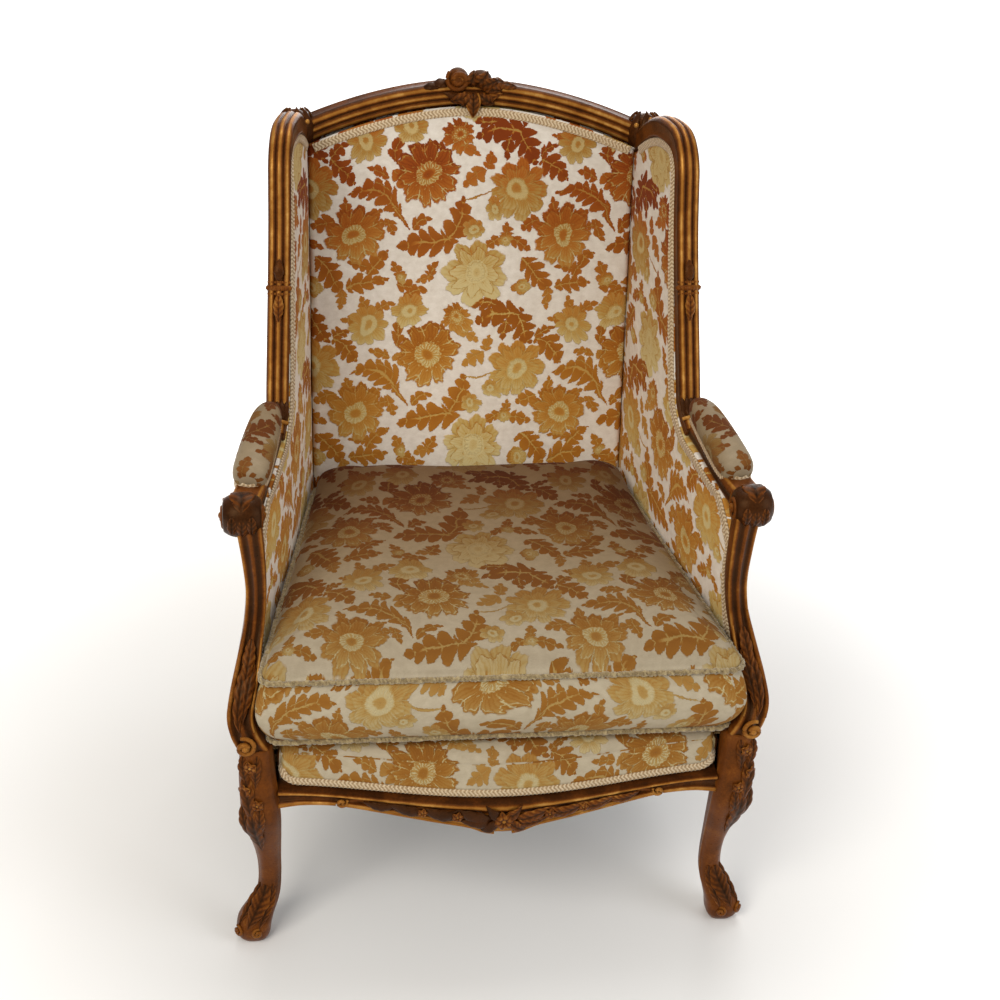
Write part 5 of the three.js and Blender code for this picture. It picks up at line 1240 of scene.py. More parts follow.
def front_rail():
    """The serpentine front rail: the face's moulding stands between its lower edge and the gimp line at
    every place across, with a bead above and below, and foliage spreads from the middle in the hollow."""
    half = FRONT_HALF - 26
    x = np.linspace(-half, half, 330)[:, None]
    low, high, front = apron_low(x), gimp_line(x), front_y(x)
    up = np.linspace(0, 1, 46)
    back = np.interp(up, np.linspace(0, 1, len(FRONT_FACE)), FRONT_FACE[:, 0])
    rise = np.interp(up, np.linspace(0, 1, len(FRONT_FACE)), FRONT_FACE[:, 1])
    share = np.abs(x) / FRONT_HALF
    carved = (1 - ease(share, 0.5, 0.72)) * ease(rise, 0.22, 0.34) * (1 - ease(rise, 0.62, 0.74))
    stem = np.cos((share * 16 - 1.2 * np.cos(rise * 4)) * np.pi)
    height = 2.4 * carved * stem
    y = front + back * 27 - height
    z = low + rise * (high - low)
    bead = np.maximum(bump_at(rise, 0.15, 0.08), bump_at(rise, 0.86, 0.07))
    shine = np.broadcast_to(np.maximum(0.28 + 0.75 * bead, 0.3 + 0.5 * carved * (0.5 + 0.5 * stem)), y.shape)
    # the walk goes on over the top, down the rear and back along the foot
    rear = 0 * x + FRONT_REAR_Y
    top = 0 * x + RAIL_TOP
    foot = 0 * x + RAIL_FOOT
    tail = [(front + 27, high), (front + 27, top), (rear, top), (rear, foot), (front + 25.6, foot),
            (front + 25.6, (low + RAIL_FOOT) / 2)]
    grid = np.concatenate([together(x, y, z)] + [together(x, b, c) for b, c in tail], axis=1)
    shine = np.concatenate([shine, np.full((len(x), 6), 0.25)], axis=1)
    parts = [ring_part(grid, shine)]

    def face(x, rise, out=0.0):
        """A place on the rail's face, at a share of its height."""
        x = np.asarray(x, float)
        return together(x, front_y(x) + 3 - out, apron_low(x) + rise * (gimp_line(x) - apron_low(x)))

    parts += rosette(face(0.0, 0.5, 2.0), SIDEWAYS, UPWARD, 15, 7, 7)
    t = np.linspace(0, 1, 12)
    sprays = [(14, 66, 0.45, 0.7, 20), (14, 60, 0.4, 0.25, 16), (60, 112, 0.4, 0.62, 19),
              (58, 104, 0.62, 0.35, 15), (104, 152, 0.42, 0.66, 17), (104, 148, 0.6, 0.38, 13),
              (146, 186, 0.5, 0.6, 14), (6, 30, 0.5, 0.05, 17), (4, 24, 0.55, 0.95, 15)]
    for start, end, foot, tip, wide in sprays:
        for side in (-1, 1):
            curve = face(side * (start + (end - start) * t), foot + (tip - foot) * t,
                         1.5 + 5.5 * np.sin(np.pi * t))
            parts.append(leaf(curve, UPWARD, wide, 6, 4, 6, shine=0.0))
    for place, rise, size in ((62, 0.5, 8), (108, 0.52, 7)):
        for side in (-1, 1):
            parts += rosette(face(float(side * place), rise, 5.0), SIDEWAYS, UPWARD, size, 5, 4)
    for side in (-1, 1):
        hub = face(side * 214.0, 0.3, 2.0)
        curl = spiral(hub, side * SIDEWAYS, UPWARD, 8, 1.3, 2.6, FORWARD * 2)
        parts.append(rod(curl, 2.6, 0.8, taper=0.6))
        curve = face(side * np.linspace(12, 214, 60), 0.02, 0.5)
        parts.append(rod(curve, 2.8, 0.85, taper=0.85))
        curve = face(side * np.linspace(222, half, 24), 0.03, 0.5)
        parts.append(rod(curve, 2.6, 0.85, taper=0.85))
    return joined(parts)


def side_rail():
    """The side seat rail: a bowed run with a hollow between two beads on its outer face."""
    out, along = np.array(SIDE_RAIL).T
    y = along * HALF_DEPTH
    z = 294.0
    rows = np.column_stack([side_x(y, z) + out * RAIL, y, np.full(len(y), z), np.full((len(y), 2), 1.0)])

    def section(width, depth):
        up = np.linspace(-28, 28, 30)
        wave = 1.5 * bump_at(up, -22, 4) + 1.5 * bump_at(up, 20, 5) - 2.2 * bump_at(up, 0, 12)
        u = np.concatenate([16.5 + wave - 1.0, [15, -16, -16.5, -16.5, -16, 14]])
        v = np.concatenate([up, [28, 28, 26, -26, -28, -28]])
        shine = 0.3 + 0.7 * np.maximum(bump_at(up, -22, 5), bump_at(up, 20, 6))
        shine = np.concatenate([shine, np.full(6, 0.25)])
        size = (len(width), len(u))
        return np.broadcast_to(u, size), np.broadcast_to(v, size), np.broadcast_to(shine, size)

    line = smooth_rows(rows, 4)
    ahead, _, _ = frames_along(line[:, :3], SIDEWAYS)
    outward = unit(np.cross(UPWARD, ahead))
    outward = outward * np.sign(outward[:, :1])
    u, v, shine = section(line[:, 3:4], line[:, 4:5])
    grid = line[:, None, :3] + u[..., None] * outward[:, None] + v[..., None] * UPWARD
    return ring_part(grid, shine)


piece("carved_crest_rail", crest_rail(), "gilded_wood", ["crest_rail"])
for name, shape in (("back_post", back_post), ("wing_rail", wing_rail), ("arm_rail", arm_rail),
                    ("arm_support", arm_support), ("front_leg", front_leg)):
    pair("carved_" + name, shape(), "gilded_wood", name)
piece("carved_front_rail", front_rail(), "gilded_wood", ["front_seat_rail"])
pair("moulded_side_rail", side_rail(), "gilded_wood", "side_seat_rail")


# Upholstery
CLOTH_X = -65.9
CLOTH_Z = 927.2
RAKE = math.cos(math.atan2(PAD_RAKE, SHOULDER - RAIL_TOP))


def repeat_uv(across, up):
    """Millimetres on the cloth to shares of the velvet's repeat, set so that its big flower lies where it
    does on the back."""
    return together((across - CLOTH_X) / REPEAT_WIDE, (up - CLOTH_Z) / REPEAT_HIGH)


def edge_steps(length, spacing):
    """Places from 0 to length, close together at both ends, where a pad rolls over."""
    near = np.array([0, 0.4, 1.2, 2.4, 4, 6, 9, 13])
    middle = np.linspace(18, length - 18, max(2, int(round((length - 36) / spacing))))
    return np.concatenate([near, middle, (length - near)[::-1]])


def roll(distance, radius):
    """How far a pad's face has dropped at a distance from its edge: a quarter circle."""
    left = np.clip((radius - distance) / radius, 0, 0.999)
    return radius * (1 - np.sqrt(1 - left ** 2))


def edge_distance(points, line):
    """The distance of each [y, z] place to the nearest stretch of a line."""
    start, end = line[:-1], line[1:]
    run = end - start
    t = np.einsum("nkd,kd->nk", points[:, None] - start, run) / np.maximum(np.sum(run ** 2, axis=1), 1e-9)
    foot = start + np.clip(t, 0, 1)[..., None] * run
    return np.sqrt(np.min(np.sum((points[:, None] - foot) ** 2, axis=2), axis=1))


def stuffed(part, cap, pins=None, pressure=4.0, stiffness=8.0):
    """Blows a closed part up as a stuffed cover: Blender's cloth with pressure and no gravity for 20 frames.
    No point moves further than the cap, and pinned points stay."""
    mesh = bpy.data.meshes.new("stuffing")
    mesh.from_pydata((part.points / 1000).tolist(), [], [f for face in part.faces for f in face.tolist()])
    made = bpy.data.objects.new("stuffing", mesh)
    bpy.context.scene.collection.objects.link(made)
    cloth = made.modifiers.new("cloth", "CLOTH")
    setting = cloth.settings
    setting.quality = 4
    setting.mass = 0.3
    setting.tension_stiffness = setting.compression_stiffness = stiffness
    setting.shear_stiffness = stiffness
    setting.bending_stiffness = 0.8
    setting.use_pressure = True
    setting.uniform_pressure_force = pressure
    setting.effector_weights.gravity = 0
    cloth.collision_settings.use_collision = False
    cloth.collision_settings.use_self_collision = False
    cloth.point_cache.frame_start = 1
    cloth.point_cache.frame_end = 20
    if pins is not None:
        group = made.vertex_groups.new(name="pins")
        group.add(np.nonzero(pins)[0].tolist(), 1.0, "REPLACE")
        setting.vertex_group_mass = "pins"
    for step in range(1, 21):
        bpy.context.scene.frame_set(step)
    graph = bpy.context.evaluated_depsgraph_get()
    shape = made.evaluated_get(graph).to_mesh()
    moved = np.empty(len(part.points) * 3, np.float32)
    shape.vertices.foreach_get("co", moved)
    made.evaluated_get(graph).to_mesh_clear()
    bpy.data.objects.remove(made)
    bpy.data.meshes.remove(mesh)
    bpy.context.scene.frame_set(1)
    shift = moved.reshape(-1, 3) * 1000.0 - part.points
    size = np.linalg.norm(shift, axis=1, keepdims=True)
    part.points = part.points + shift * np.minimum(1, cap / np.maximum(size, 1e-6))
    return part


def dimples(a, b, size):
    """Small soft unevenness of stuffing: a few sines of unlike lengths over the cloth, in millimetres."""
    return size * (np.sin(a / 37 + 1) * np.cos(b / 46) + 0.6 * np.sin(a / 71 - b / 59 + 2)
                   + 0.5 * np.cos(a / 24 + b / 31))


def back_face(x, z):
    """The back pad's front: the raked and bowed plane, stuffed forward between its edges."""
    v = np.clip((z - SEAT_LINE) / (1043 - SEAT_LINE), 0, 1)
    across = 1 - np.minimum(1, np.abs(x) / BACK_HALF) ** 4
    crown = 14 * across * np.sin(np.pi * v) ** 0.7
    return pad_y(z) + bow_y(x, z) - crown


def crest_under(x, gap=17.0):
    """The arch's lower edge over the cloth."""
    return crest_spot(x / CREST_HALF)[..., 2] - gap


def back_pad():
    """The inside back: a grid between the seat and the arch, its face stuffed forward and rolled over at the
    two sides and under the arch."""
    x = edge_steps(2 * BACK_HALF, 7) - BACK_HALF
    close = 1 - np.array([16, 12, 9, 6, 4, 2.4, 1.2, 0.4, 0]) / 640
    share = np.concatenate([np.linspace(0, 0.965, 90), close])
    x, share = np.meshgrid(x, share)
    z = SEAT_LINE + share * (crest_under(x) - SEAT_LINE)
    side = roll(BACK_HALF - np.abs(x), 9)
    head = roll(crest_under(x) - z, 6)
    y = back_face(x, z) + np.maximum(side, head) + dimples(x, z, 0.5)
    front = together(x, y, z)
    rear = together(x, post_y(z) + bow_y(x, z) - 17, z)
    return slab_part(front, rear, repeat_uv(x, z / RAKE))


def edge_path():
    """The inside panel's front and top edge, from the seat up the support, along the arm and round the ear:
    the rails' centre lines set in by half their depth."""
    def line(table, order, depth):
        along, up, deep = np.array(table)[order][:, [1, 2, 4]].T
        return np.column_stack([along * HALF_DEPTH, level(up), deep * depth / 2])
    rows = np.concatenate([
        line(ARM_SUPPORT, np.arange(8, 0, -1), SUPPORT),
        line(ARM_RAIL, np.arange(6, 3, -1), ARM),
        line(WING, np.arange(13, -1, -1), WING_DEPTH),
    ])
    rows = smooth_rows(np.column_stack([rows[:, :2], np.zeros(len(rows)), rows[:, 2]]), 3)
    ahead = unit(np.gradient(rows[:, :2], axis=0))
    inward = np.column_stack([ahead[:, 1], -ahead[:, 0]])
    path = rows[:, :2] + inward * rows[:, 3:4]
    beside = np.maximum(path[:, 0], rows[:, 0] + rows[:, 3] * 0.9)
    path[:, 0] = np.where(rows[:, 1] < 590, beside, path[:, 0])
    return path


EDGE = edge_path()
APEX = int(np.argmax(EDGE[:, 1]))
EDGE_RISE = np.maximum.accumulate(EDGE[:APEX + 1, 1] + 1e-4 * np.arange(APEX + 1))


def edge_y(z):
    """The front edge at each height."""
    return np.interp(z, EDGE_RISE, EDGE[:APEX + 1, 0])


def top_y(z):
    """The ear's top edge behind its highest place, at each height."""
    return np.interp(z, EDGE[APEX:, 1][::-1], EDGE[APEX:, 0][::-1])


def swell(y, z):
    """The side pad's fullness: a sine along it times a sine up it."""
    along = np.clip((y + 228) / (pad_y(z) - 80 + 228), 0, 1)
    up = np.clip((z - SEAT_LINE) / (SHOULDER - SEAT_LINE), 0, 1)
    return np.sin(np.pi * along) * np.sin(np.pi * up)


def side_face(y, z):
    """The side pad's skin, which faces the sitter."""
    return skin_x(y, z) - 7 * swell(y, z) + dimples(y, z, 0.35)


def panel_grid(heights, front, rear, spacing=7.0):
    """Places [y, z] in level rows between two edges, close together near each edge."""
    share = edge_steps(420.0, spacing) / 420.0
    start, end = front(heights)[:, None], rear(heights)[:, None]
    y = start + share * np.maximum(end - start, 0.05)
    return y, np.broadcast_to(heights[:, None], y.shape)


def side_pad():
    """The inside arm and ear in one panel: level rows from the front edge to the back pad, following the
    side's skin, rolled over along the edge."""
    low, high = SEAT_LINE, EDGE[APEX, 1] - 0.4
    z = np.concatenate([np.arange(low, 596, 6), np.arange(596, 642, 1.5), np.arange(642, 980, 5),
                        np.arange(980, high, 1.5), [high]])
    y, z = panel_grid(z, edge_y, lambda h: np.minimum(pad_y(h) + 22, top_y(h)))
    distance = edge_distance(np.column_stack([y.ravel(), z.ravel()]), EDGE).reshape(y.shape)
    x = side_face(y, z) + roll(distance, 6)
    near = together(x, y, z)
    far = together(skin_x(y, z) + 10 + 0 * y, y, z)
    return slab_part(near, far, repeat_uv(y - pad_y(z) + 120, z / RAKE + 60))


ARM_PAD = [
    [0.56, 0.034, 3.148, 0.36, 0.4],
    [0.58, 0.024, 3.152, 0.75, 0.75],
    [0.60, 0.000, 3.155, 1.04, 0.98],
    [0.62, -0.060, 3.15, 1.28, 1.15],
    [0.62, -0.170, 3.13, 1.44, 1.24],
    [0.62, -0.290, 3.105, 1.50, 1.28],
    [0.62, -0.352, 3.094, 1.42, 1.18],
    [0.62, -0.381, 3.088, 1.14, 0.94],
    [0.62, -0.395, 3.086, 0.70, 0.56],
]


def arm_pad():
    """The stuffed roll on the arm: rings a little off round along the table's line. The cloth's pattern runs
    along it."""
    rows = side_rows(ARM_PAD, RAIL, RAIL)
    part = sweep(rows, SIDEWAYS, rounded(40, 2.3), 4.0)
    line = smooth_rows(rows, 4.0)
    n = len(line)
    along = np.linspace(0, 170, n)[:, None]
    turn = np.linspace(0, 1, 41)[None, :]
    around = np.where(turn > 0.75, turn - 1, turn) * 130
    uv = repeat_uv(around + 90, along + 40 + 0 * around)
    corner = around_faces(uv).reshape(-1, 4, 2)
    turned = part.faces[0][0, 0] != 0
    part.corner_uv[0] = corner[:, ::-1] if turned else corner
    part.corner_uv[1] = np.broadcast_to(uv[0].mean(0), part.corner_uv[1].shape).copy()
    part.corner_uv[2] = np.broadcast_to(uv[-1].mean(0), part.corner_uv[2].shape).copy()
    return stuffed(part, 2.5)


BORDER = np.array([[0.12, 0], [0.0, 0.06], [-0.01, 0.2], [0.1, 0.4], [0.2, 0.55], [0.42, 0.74], [0.7, 0.88],
                   [1, 0.97], [1.4, 1.03], [1.9, 1.06]])
DECK_TOP = 336.8
DECK_HALF = float(skin_x(-268.0, 330.0)) - 1.5
BORDER_HALF = 297.0


def border_spot(x, share):
    """A place on the seat border: from the rail's gimp line up and over to the deck. Its two ends are
    rounded: there the lower edge rises and the front draws back, each along a quarter circle."""
    size = np.abs(x)
    turn = np.clip((size - (BORDER_HALF - 26)) / 26, 0, 1)
    low = gimp_line(x) + 0.3 + 38 * (1 - np.sqrt(np.maximum(1 - turn ** 2, 0)))
    past = np.clip((size - (BORDER_HALF - 9)) / 9, 0, 1)
    front = front_y(x) + 15 + 45 * (1 - np.sqrt(np.maximum(1 - past ** 2, 0)))
    back = np.interp(share, np.linspace(0, 1, len(BORDER)), BORDER[:, 0])
    rise = np.interp(share, np.linspace(0, 1, len(BORDER)), BORDER[:, 1])
    return together(x, front + back * 26, low + rise * (DECK_TOP - low))


def seat_deck():
    """The deck and its border: a slice at each place across, from the border's lower edge over the roll to
    the rear and back underneath. Past the border's ends the slices start behind the arm supports."""
    turn = BORDER_HALF - 34
    x = np.concatenate([np.linspace(-DECK_HALF, -BORDER_HALF, 6), np.linspace(-BORDER_HALF, -turn, 26)[1:],
                        np.linspace(-turn, turn, 90)[1:-1], np.linspace(turn, BORDER_HALF, 26)[:-1],
                        np.linspace(BORDER_HALF, DECK_HALF, 6)])
    x = x[:, None]
    share = np.linspace(0, 1, 26)
    rolled = border_spot(x, share)
    outside = np.abs(x) >= BORDER_HALF - 0.01
    start = -268.0
    level_front = together(x, start - 2 * (1 - share), SEAT_LINE + share * 13.0)
    rolled = np.where(outside[..., None], level_front, rolled)
    rear = np.minimum(204.5, HALF_DEPTH * (side_x(0, 330.0) + 2.5 - np.abs(x)) / SIDE_TAPER)
    rear = np.maximum(rear, start + 6)
    t = np.linspace(0, 1, 16)[1:]
    crown = 4 * (1 - (x / FRONT_HALF) ** 2) * np.sin(np.pi * t)
    first = rolled[:, -1:, 1]
    top = together(x, first + (rear - first) * t, DECK_TOP + 1 * (1 - t) + crown)
    top[..., 2] = np.minimum(top[..., 2], 340.8)
    base = np.where(outside, start + 2, front_y(x) + 26.7)
    low = np.where(outside, SEAT_LINE, gimp_line(x) + 0.3)
    flat = 0 * x + SEAT_LINE
    under = together(np.concatenate([x, x, x], axis=1), np.concatenate([rear, base, base + 0 * x], axis=1),
                     np.concatenate([flat, flat, np.minimum(low + 2, SEAT_LINE)], axis=1))
    grid = np.concatenate([rolled, top, under], axis=1)
    run = np.cumsum(np.linalg.norm(np.diff(grid, axis=1), axis=2), axis=1)
    run = np.concatenate([0 * x, run, run[:, -1:] + 5], axis=1)
    return ring_part(grid, None, repeat_uv(x + 40, run + 70))


CUSHION_LOW = 341.1
CUSHION = [
    [0.40, 0.0, 0], [0.7, 0.0, 0], [0.88, 0.005, 0], [0.94, 0.03, 0.1],
    [0.972, 0.085, 0.35], [0.968, 0.13, 0.2], [0.985, 0.24, 0.6], [1.0, 0.40, 0.92],
    [1.008, 0.56, 1], [1.004, 0.70, 0.95], [0.995, 0.83, 0.75], [0.985, 0.93, 0.3],
    [0.99, 0.99, 0.3], [0.988, 1.04, 0.3], [0.98, 1.095, 0.25], [0.962, 1.15, 0.2],
    [0.93, 1.20, 0.1], [0.875, 1.245, 0], [0.79, 1.285, 0], [0.68, 1.315, 0],
    [0.54, 1.335, 0], [0.4, 1.345, 0], [0.25, 1.35, 0], [0.1, 1.35, 0],
]
CUSHION_SIDE = 114.0


def cushion_outline(count):
    """The cushion's plan, walked from the right front corner: straight sides with corners rounded by a
    quadratic curve, set out evenly."""
    corner = np.array([[321.5, -320], [242.3, 199], [-242.3, 199], [-321.5, -320]])
    t = np.linspace(0, 1, 12)[:, None]
    spots = []
    for index in range(4):
        here = corner[index]
        back = here + unit(corner[index - 1] - here) * 30
        ahead = here + unit(corner[(index + 1) % 4] - here) * 30
        spots.append((1 - t) ** 2 * back + 2 * t * (1 - t) * here + t ** 2 * ahead)
    spots = np.concatenate(spots + [spots[0][:1]])
    run = run_along(spots)
    at = np.linspace(0, run[-1], count + 1)[:-1]
    return np.column_stack([np.interp(at, run, spots[:, 0]), np.interp(at, run, spots[:, 1])]), run[-1]


def cushion_ring(outline, share, height, bulge):
    """The outline drawn in to a share of itself at a height; the bulge pushes its front forward and its
    front corners out."""
    middle = np.array([0, (199.0 - 320.0) / 2])
    arm = outline - middle
    place = arm * share + middle
    front = np.maximum(0, -arm[:, 1] / (320 + middle[1]))
    x = place[:, 0] + np.sign(arm[:, 0]) * front ** 14 * bulge * 13
    y = place[:, 1] - front ** 3 * bulge * 12
    return np.column_stack([x, y, np.full(len(x), height)])


def cushion_shape():
    """The cushion's rings, from the middle of its underside over the two seams to its crown."""
    outline, girth = cushion_outline(192)
    rows = smooth_rows(np.column_stack([np.array(CUSHION), np.zeros(len(CUSHION))])[:, [0, 1, 3, 2]], 0.024)
    rings = np.stack([cushion_ring(outline, s, CUSHION_LOW + up * CUSHION_SIDE, bulge)
                      for s, up, _, bulge in rows])
    lift = rows[:, 1][:, None]
    # the filling has gone to the rear, where the top leans against the back
    rear = ease(rings[..., 1], 60, 185)
    rings[..., 2] += 10 * rear * ease(lift, 1.02, 1.12)
    rings[..., 1] += 13 * rear * ease(lift, 1.0, 1.12)
    sunk = 7 * np.exp(-((rings[..., 0] / 170) ** 2 + ((rings[..., 1] + 40) / 150) ** 2)) * (lift > 1.1)
    puff = dimples(rings[..., 0] * 0.8, rings[..., 1] * 0.8, 1.6) * ease(lift, 1.05, 1.2)
    rings[..., 2] += puff - sunk
    return rings, rows, girth


def cushion_uv(rings, rows, girth, part):
    """The cloth's places: straight down through the top and the underside, and round the boxing by its
    girth and height. Each face takes the one of the band that it lies in."""
    n, m = rings.shape[:2]
    plan = repeat_uv(rings[..., 0] + 20, rings[..., 1] * 1.02 + 35)
    plan = np.concatenate([plan, plan[:, :1]], axis=1)
    around = np.broadcast_to(np.linspace(0, girth, m + 1), (n, m + 1))
    side = repeat_uv(-around + 180, np.broadcast_to(rings[:, :1, 2], (n, m + 1)) + 478)
    middle = (rows[:-1, 1] + rows[1:, 1]) / 2
    boxing = ((middle > 0.1) & (middle < 1.01))[:, None, None, None]
    uv = np.where(boxing, around_faces(side), around_faces(plan)).reshape(-1, 4, 2)
    turned = part.faces[0][0, 0] != 0
    part.corner_uv[0] = uv[:, ::-1] if turned else uv
    for index in (1, 2):
        centre = part.points[part.faces[index]]
        part.corner_uv[index] = repeat_uv(centre[..., 0] + 20, centre[..., 1] * 1.02 + 35)
    return part


def seat_cushion():
    """The loose cushion: the rings a little small, blown up by the cloth's pressure, then laid flat where it
    rests on the deck and kept between the arms."""
    rings, rows, girth = cushion_shape()
    part = ring_part(rings)
    part = cushion_uv(rings, rows, girth, part)
    seam = ((np.abs(rows[:, 1] - 0.11) < 0.03) | (np.abs(rows[:, 1] - 0.965) < 0.03) | (rows[:, 1] < 0.004))
    pins = np.concatenate([np.repeat(seam, rings.shape[1]), [True, False]])
    part = stuffed(part, 5.0, pins, 3.0, 12.0)
    part.points[:, 2] = np.maximum(part.points[:, 2], CUSHION_LOW)
    limit = skin_x(part.points[:, 1], part.points[:, 2]) - 6.0
    free = part.points[:, 1] < -262
    part.points[:, 0] = np.where(free, part.points[:, 0], np.clip(part.points[:, 0], -limit, limit))
    part.points[:, 1] = np.minimum(part.points[:, 1], back_face(part.points[:, 0], part.points[:, 2]) - 3.0)
    return part


def fringe_along(line, radius):
    """Moss fringe: a closed roll of cut silk round a loop. Its radius is roughened by drawn numbers, each
    the mean of four neighbours, and it hangs a little."""
    count = len(line)
    ahead = unit(np.roll(line, -1, axis=0) - np.roll(line, 1, axis=0))
    across = unit(np.cross(UPWARD, ahead))
    up = np.cross(ahead, across)
    turn = np.linspace(0, 2 * np.pi, 13)[:-1]
    rough = np.random.default_rng(7).normal(size=(count, len(turn)))
    rough = (rough + np.roll(rough, 1, axis=0) + np.roll(rough, 1, axis=1)
             + np.roll(rough, (1, 1), axis=(0, 1))) / 2
    size = radius * (1 + 0.16 * np.clip(rough, -2, 2))
    grid = (line[:, None] + (np.cos(turn) * size)[..., None] * across[:, None]
            + (np.sin(turn) * size * 1.05)[..., None] * up[:, None])
    grid[..., 2] -= 1.0
    shine = 0.5 + 0.25 * rough
    index = np.pad(np.arange(count * len(turn)).reshape(count, -1), ((0, 1), (0, 1)), mode="wrap")
    quads = around_faces(index).reshape(-1, 4)
    return Part(grid.reshape(-1, 3), [quads], [np.zeros((len(quads), 4, 2))], shine.ravel()).outward()


def cushion_fringe():
    """Fringe over both of the cushion's seams."""
    outline, _ = cushion_outline(1560)
    parts = []
    for share, up, bulge, radius in ((0.97, 0.115, 0.3, 3.4), (0.992, 0.985, 0.32, 3.6)):
        seam = cushion_ring(outline, share, CUSHION_LOW + up * CUSHION_SIDE, bulge)
        parts.append(fringe_along(seam, radius))
    return joined(parts)


# Gimp
def gimp(points, normal, width=12.0, thick=2.6):
    """A flat braid along a line on a surface: a rounded section whose width swells at every loop, its flat
    square to the surface's normal. UVs are millimetres along and across over 1000."""
    points = np.asarray(points, float)
    normal = np.broadcast_to(np.asarray(normal, float), points.shape)
    rows = smooth_rows(np.column_stack([points, normal]), 1.4)
    spots, facing = rows[:, :3], unit(rows[:, 3:6])
    ahead = unit(np.gradient(spots, axis=0))
    across = unit(np.cross(facing, ahead))
    run = run_along(spots)[:, None]
    angle = 2 * np.pi * (np.arange(20) + 0.5) / 20
    reach = (np.abs(np.cos(angle)) ** 3 + np.abs(np.sin(angle)) ** 3) ** (-1 / 3)
    wave = np.cos(2 * np.pi * run / 5.5)
    u = reach * np.cos(angle) * width / 2 * (1 + 0.07 * wave)
    ridge = 0.5 * np.cos(2 * np.pi * run / 5.5 + 2.4 * np.sin(2 * np.pi * u / 12))
    v = reach * np.sin(angle) * thick / 2 + np.where(np.sin(angle) > 0.2, ridge, 0)
    grid = spots[:, None] + u[..., None] * across[:, None] + v[..., None] * facing[:, None]
    uv = together(run, np.concatenate([u, u[:, :1]], axis=1)) / 1000
    return ring_part(grid, None, uv)


def inset_edge(shift):
    """The panel's front edge moved in over the cloth."""
    ahead = unit(np.gradient(EDGE, axis=0))
    return EDGE + np.column_stack([ahead[:, 1], -ahead[:, 0]]) * shift


def panel_gimp():
    """Gimp up the side panel's edge, from the seat round to the top of the ear."""
    path = inset_edge(6.5)
    keep = (path[:, 1] > 338) & ((path[:, 0] < 300) | (np.arange(len(path)) < APEX))
    y, z = path[keep].T
    x = skin_x(y, z) - 7 * swell(y, z) - 0.6
    return gimp(np.column_stack([x, y, z])[::3], unit(np.array([-0.85, -0.5, 0.02])), 12.0, 3.4)


def arch_gimp():
    """Gimp under the crest's arch, on the back pad."""
    x = np.linspace(-236, 236, 60)
    z = crest_under(x) - 6.5
    y = back_face(x, z) + roll(np.full(60, 6.5), 6) - 0.9
    return gimp(np.column_stack([x, y, z]), unit(np.array([0, -1, 0.18])))


def border_gimp():
    """Gimp along the border's lower edge, round its two ends and up to the deck."""
    x = (BORDER_HALF - 2.5) * np.sin(np.linspace(-math.pi / 2, math.pi / 2, 120))
    spot = border_spot(x, np.full(120, 0.16))
    aside = 0.5 * ease(np.abs(x), 270, 297) * np.sign(x)
    facing = unit(np.column_stack([aside, np.full(120, -1.0), np.full(120, 0.1)]))
    low = np.array([0, -1.2, 1.5])
    return gimp(spot + low, facing, 11.0)


def pad_gimp():
    """Gimp round the foot of the arm pad, a closed loop drawn along its two sides and round its front."""
    rows = smooth_rows(side_rows(ARM_PAD, RAIL, RAIL), 6)
    ahead, across, up = frames_along(rows[:, :3], SIDEWAYS)
    up = up * np.sign(up[:, 2:3])
    low = -0.62
    reach = (1 - abs(low) ** 2.3) ** (1 / 2.3)
    right = rows[:, :3] + across * rows[:, 3:4] / 2 * (reach + 0.02) + up * rows[:, 4:5] / 2 * low
    left = rows[:, :3] - across * rows[:, 3:4] / 2 * (reach + 0.02) + up * rows[:, 4:5] / 2 * low
    tip = rows[-1, :3] + ahead[-1] * 3 + up[-1] * rows[-1, 4] / 2 * low
    line = np.concatenate([right, [tip], left[::-1]])
    normal = np.concatenate([across + 0.25 * up, [ahead[-1]], (-across + 0.25 * up)[::-1]])
    return gimp(line, unit(normal), 9.0, 2.2)


# Outside covers and the parts inside
def post_inner(z):
    """The inner face of the back post at each height."""
    return POST_REACH * side_x(post_y(z), z) - 0.475 * POST - 2.0


def back_cover():
    """The outside back, stretched between the posts from the seat rail to the crest, 2 mm thick."""
    share = np.concatenate([[0, 0.006], np.linspace(0.02, 0.98, 60), [0.994, 1]])
    up = np.linspace(0, 1, 70)[:, None]
    z0 = SEAT_LINE
    half = post_inner(z0 + up * 660)
    x = (2 * share - 1) * half
    z = z0 + up * (crest_under(x, 17.5) - z0)
    y = post_y(z) + bow_y(x, z) + 11.4
    near = together(x, y, z + 0 * x)
    far = near + [0, 2.3, 0]
    return slab_part(near, far, repeat_uv(-x + 60, z / RAKE + 30)), far


def outside_panel(heights, front, rear, out, drop=None):
    """An outside cover: level rows between its edges, a little proud of the frame's rebate, each place let
    down by its drop."""
    y, z = panel_grid(heights, front, rear, 12.0)
    if drop is not None:
        z = z - drop(y, z)
    x = skin_x(y, z) + out(z)
    near = together(x, y, z)
    far = near + [2.3, 0, 0]
    return slab_part(near, far, repeat_uv(-y + 30, z + 45)), far


def arm_cover():
    """The outside of the arm, below the arm rail and between the support and the post."""
    under_y, under_z = np.array(ARM_RAIL)[:6, 1] * HALF_DEPTH, level(np.array(ARM_RAIL)[:6, 2]) - 15
    z = np.concatenate([np.arange(SEAT_LINE, 600, 8), np.arange(600, float(under_z.max()) - 0.5, 1.5)])

    def rear(height):
        post = post_y(height) - 0.62 * POST
        return np.where(height < under_z[0], post,
                        np.interp(height, under_z[:3], np.minimum(under_y[:3], 1e3)))

    return outside_panel(z, edge_y, rear, lambda h: 20.5 - 7 * np.clip((h - RAIL_TOP) / 208, 0, 1))


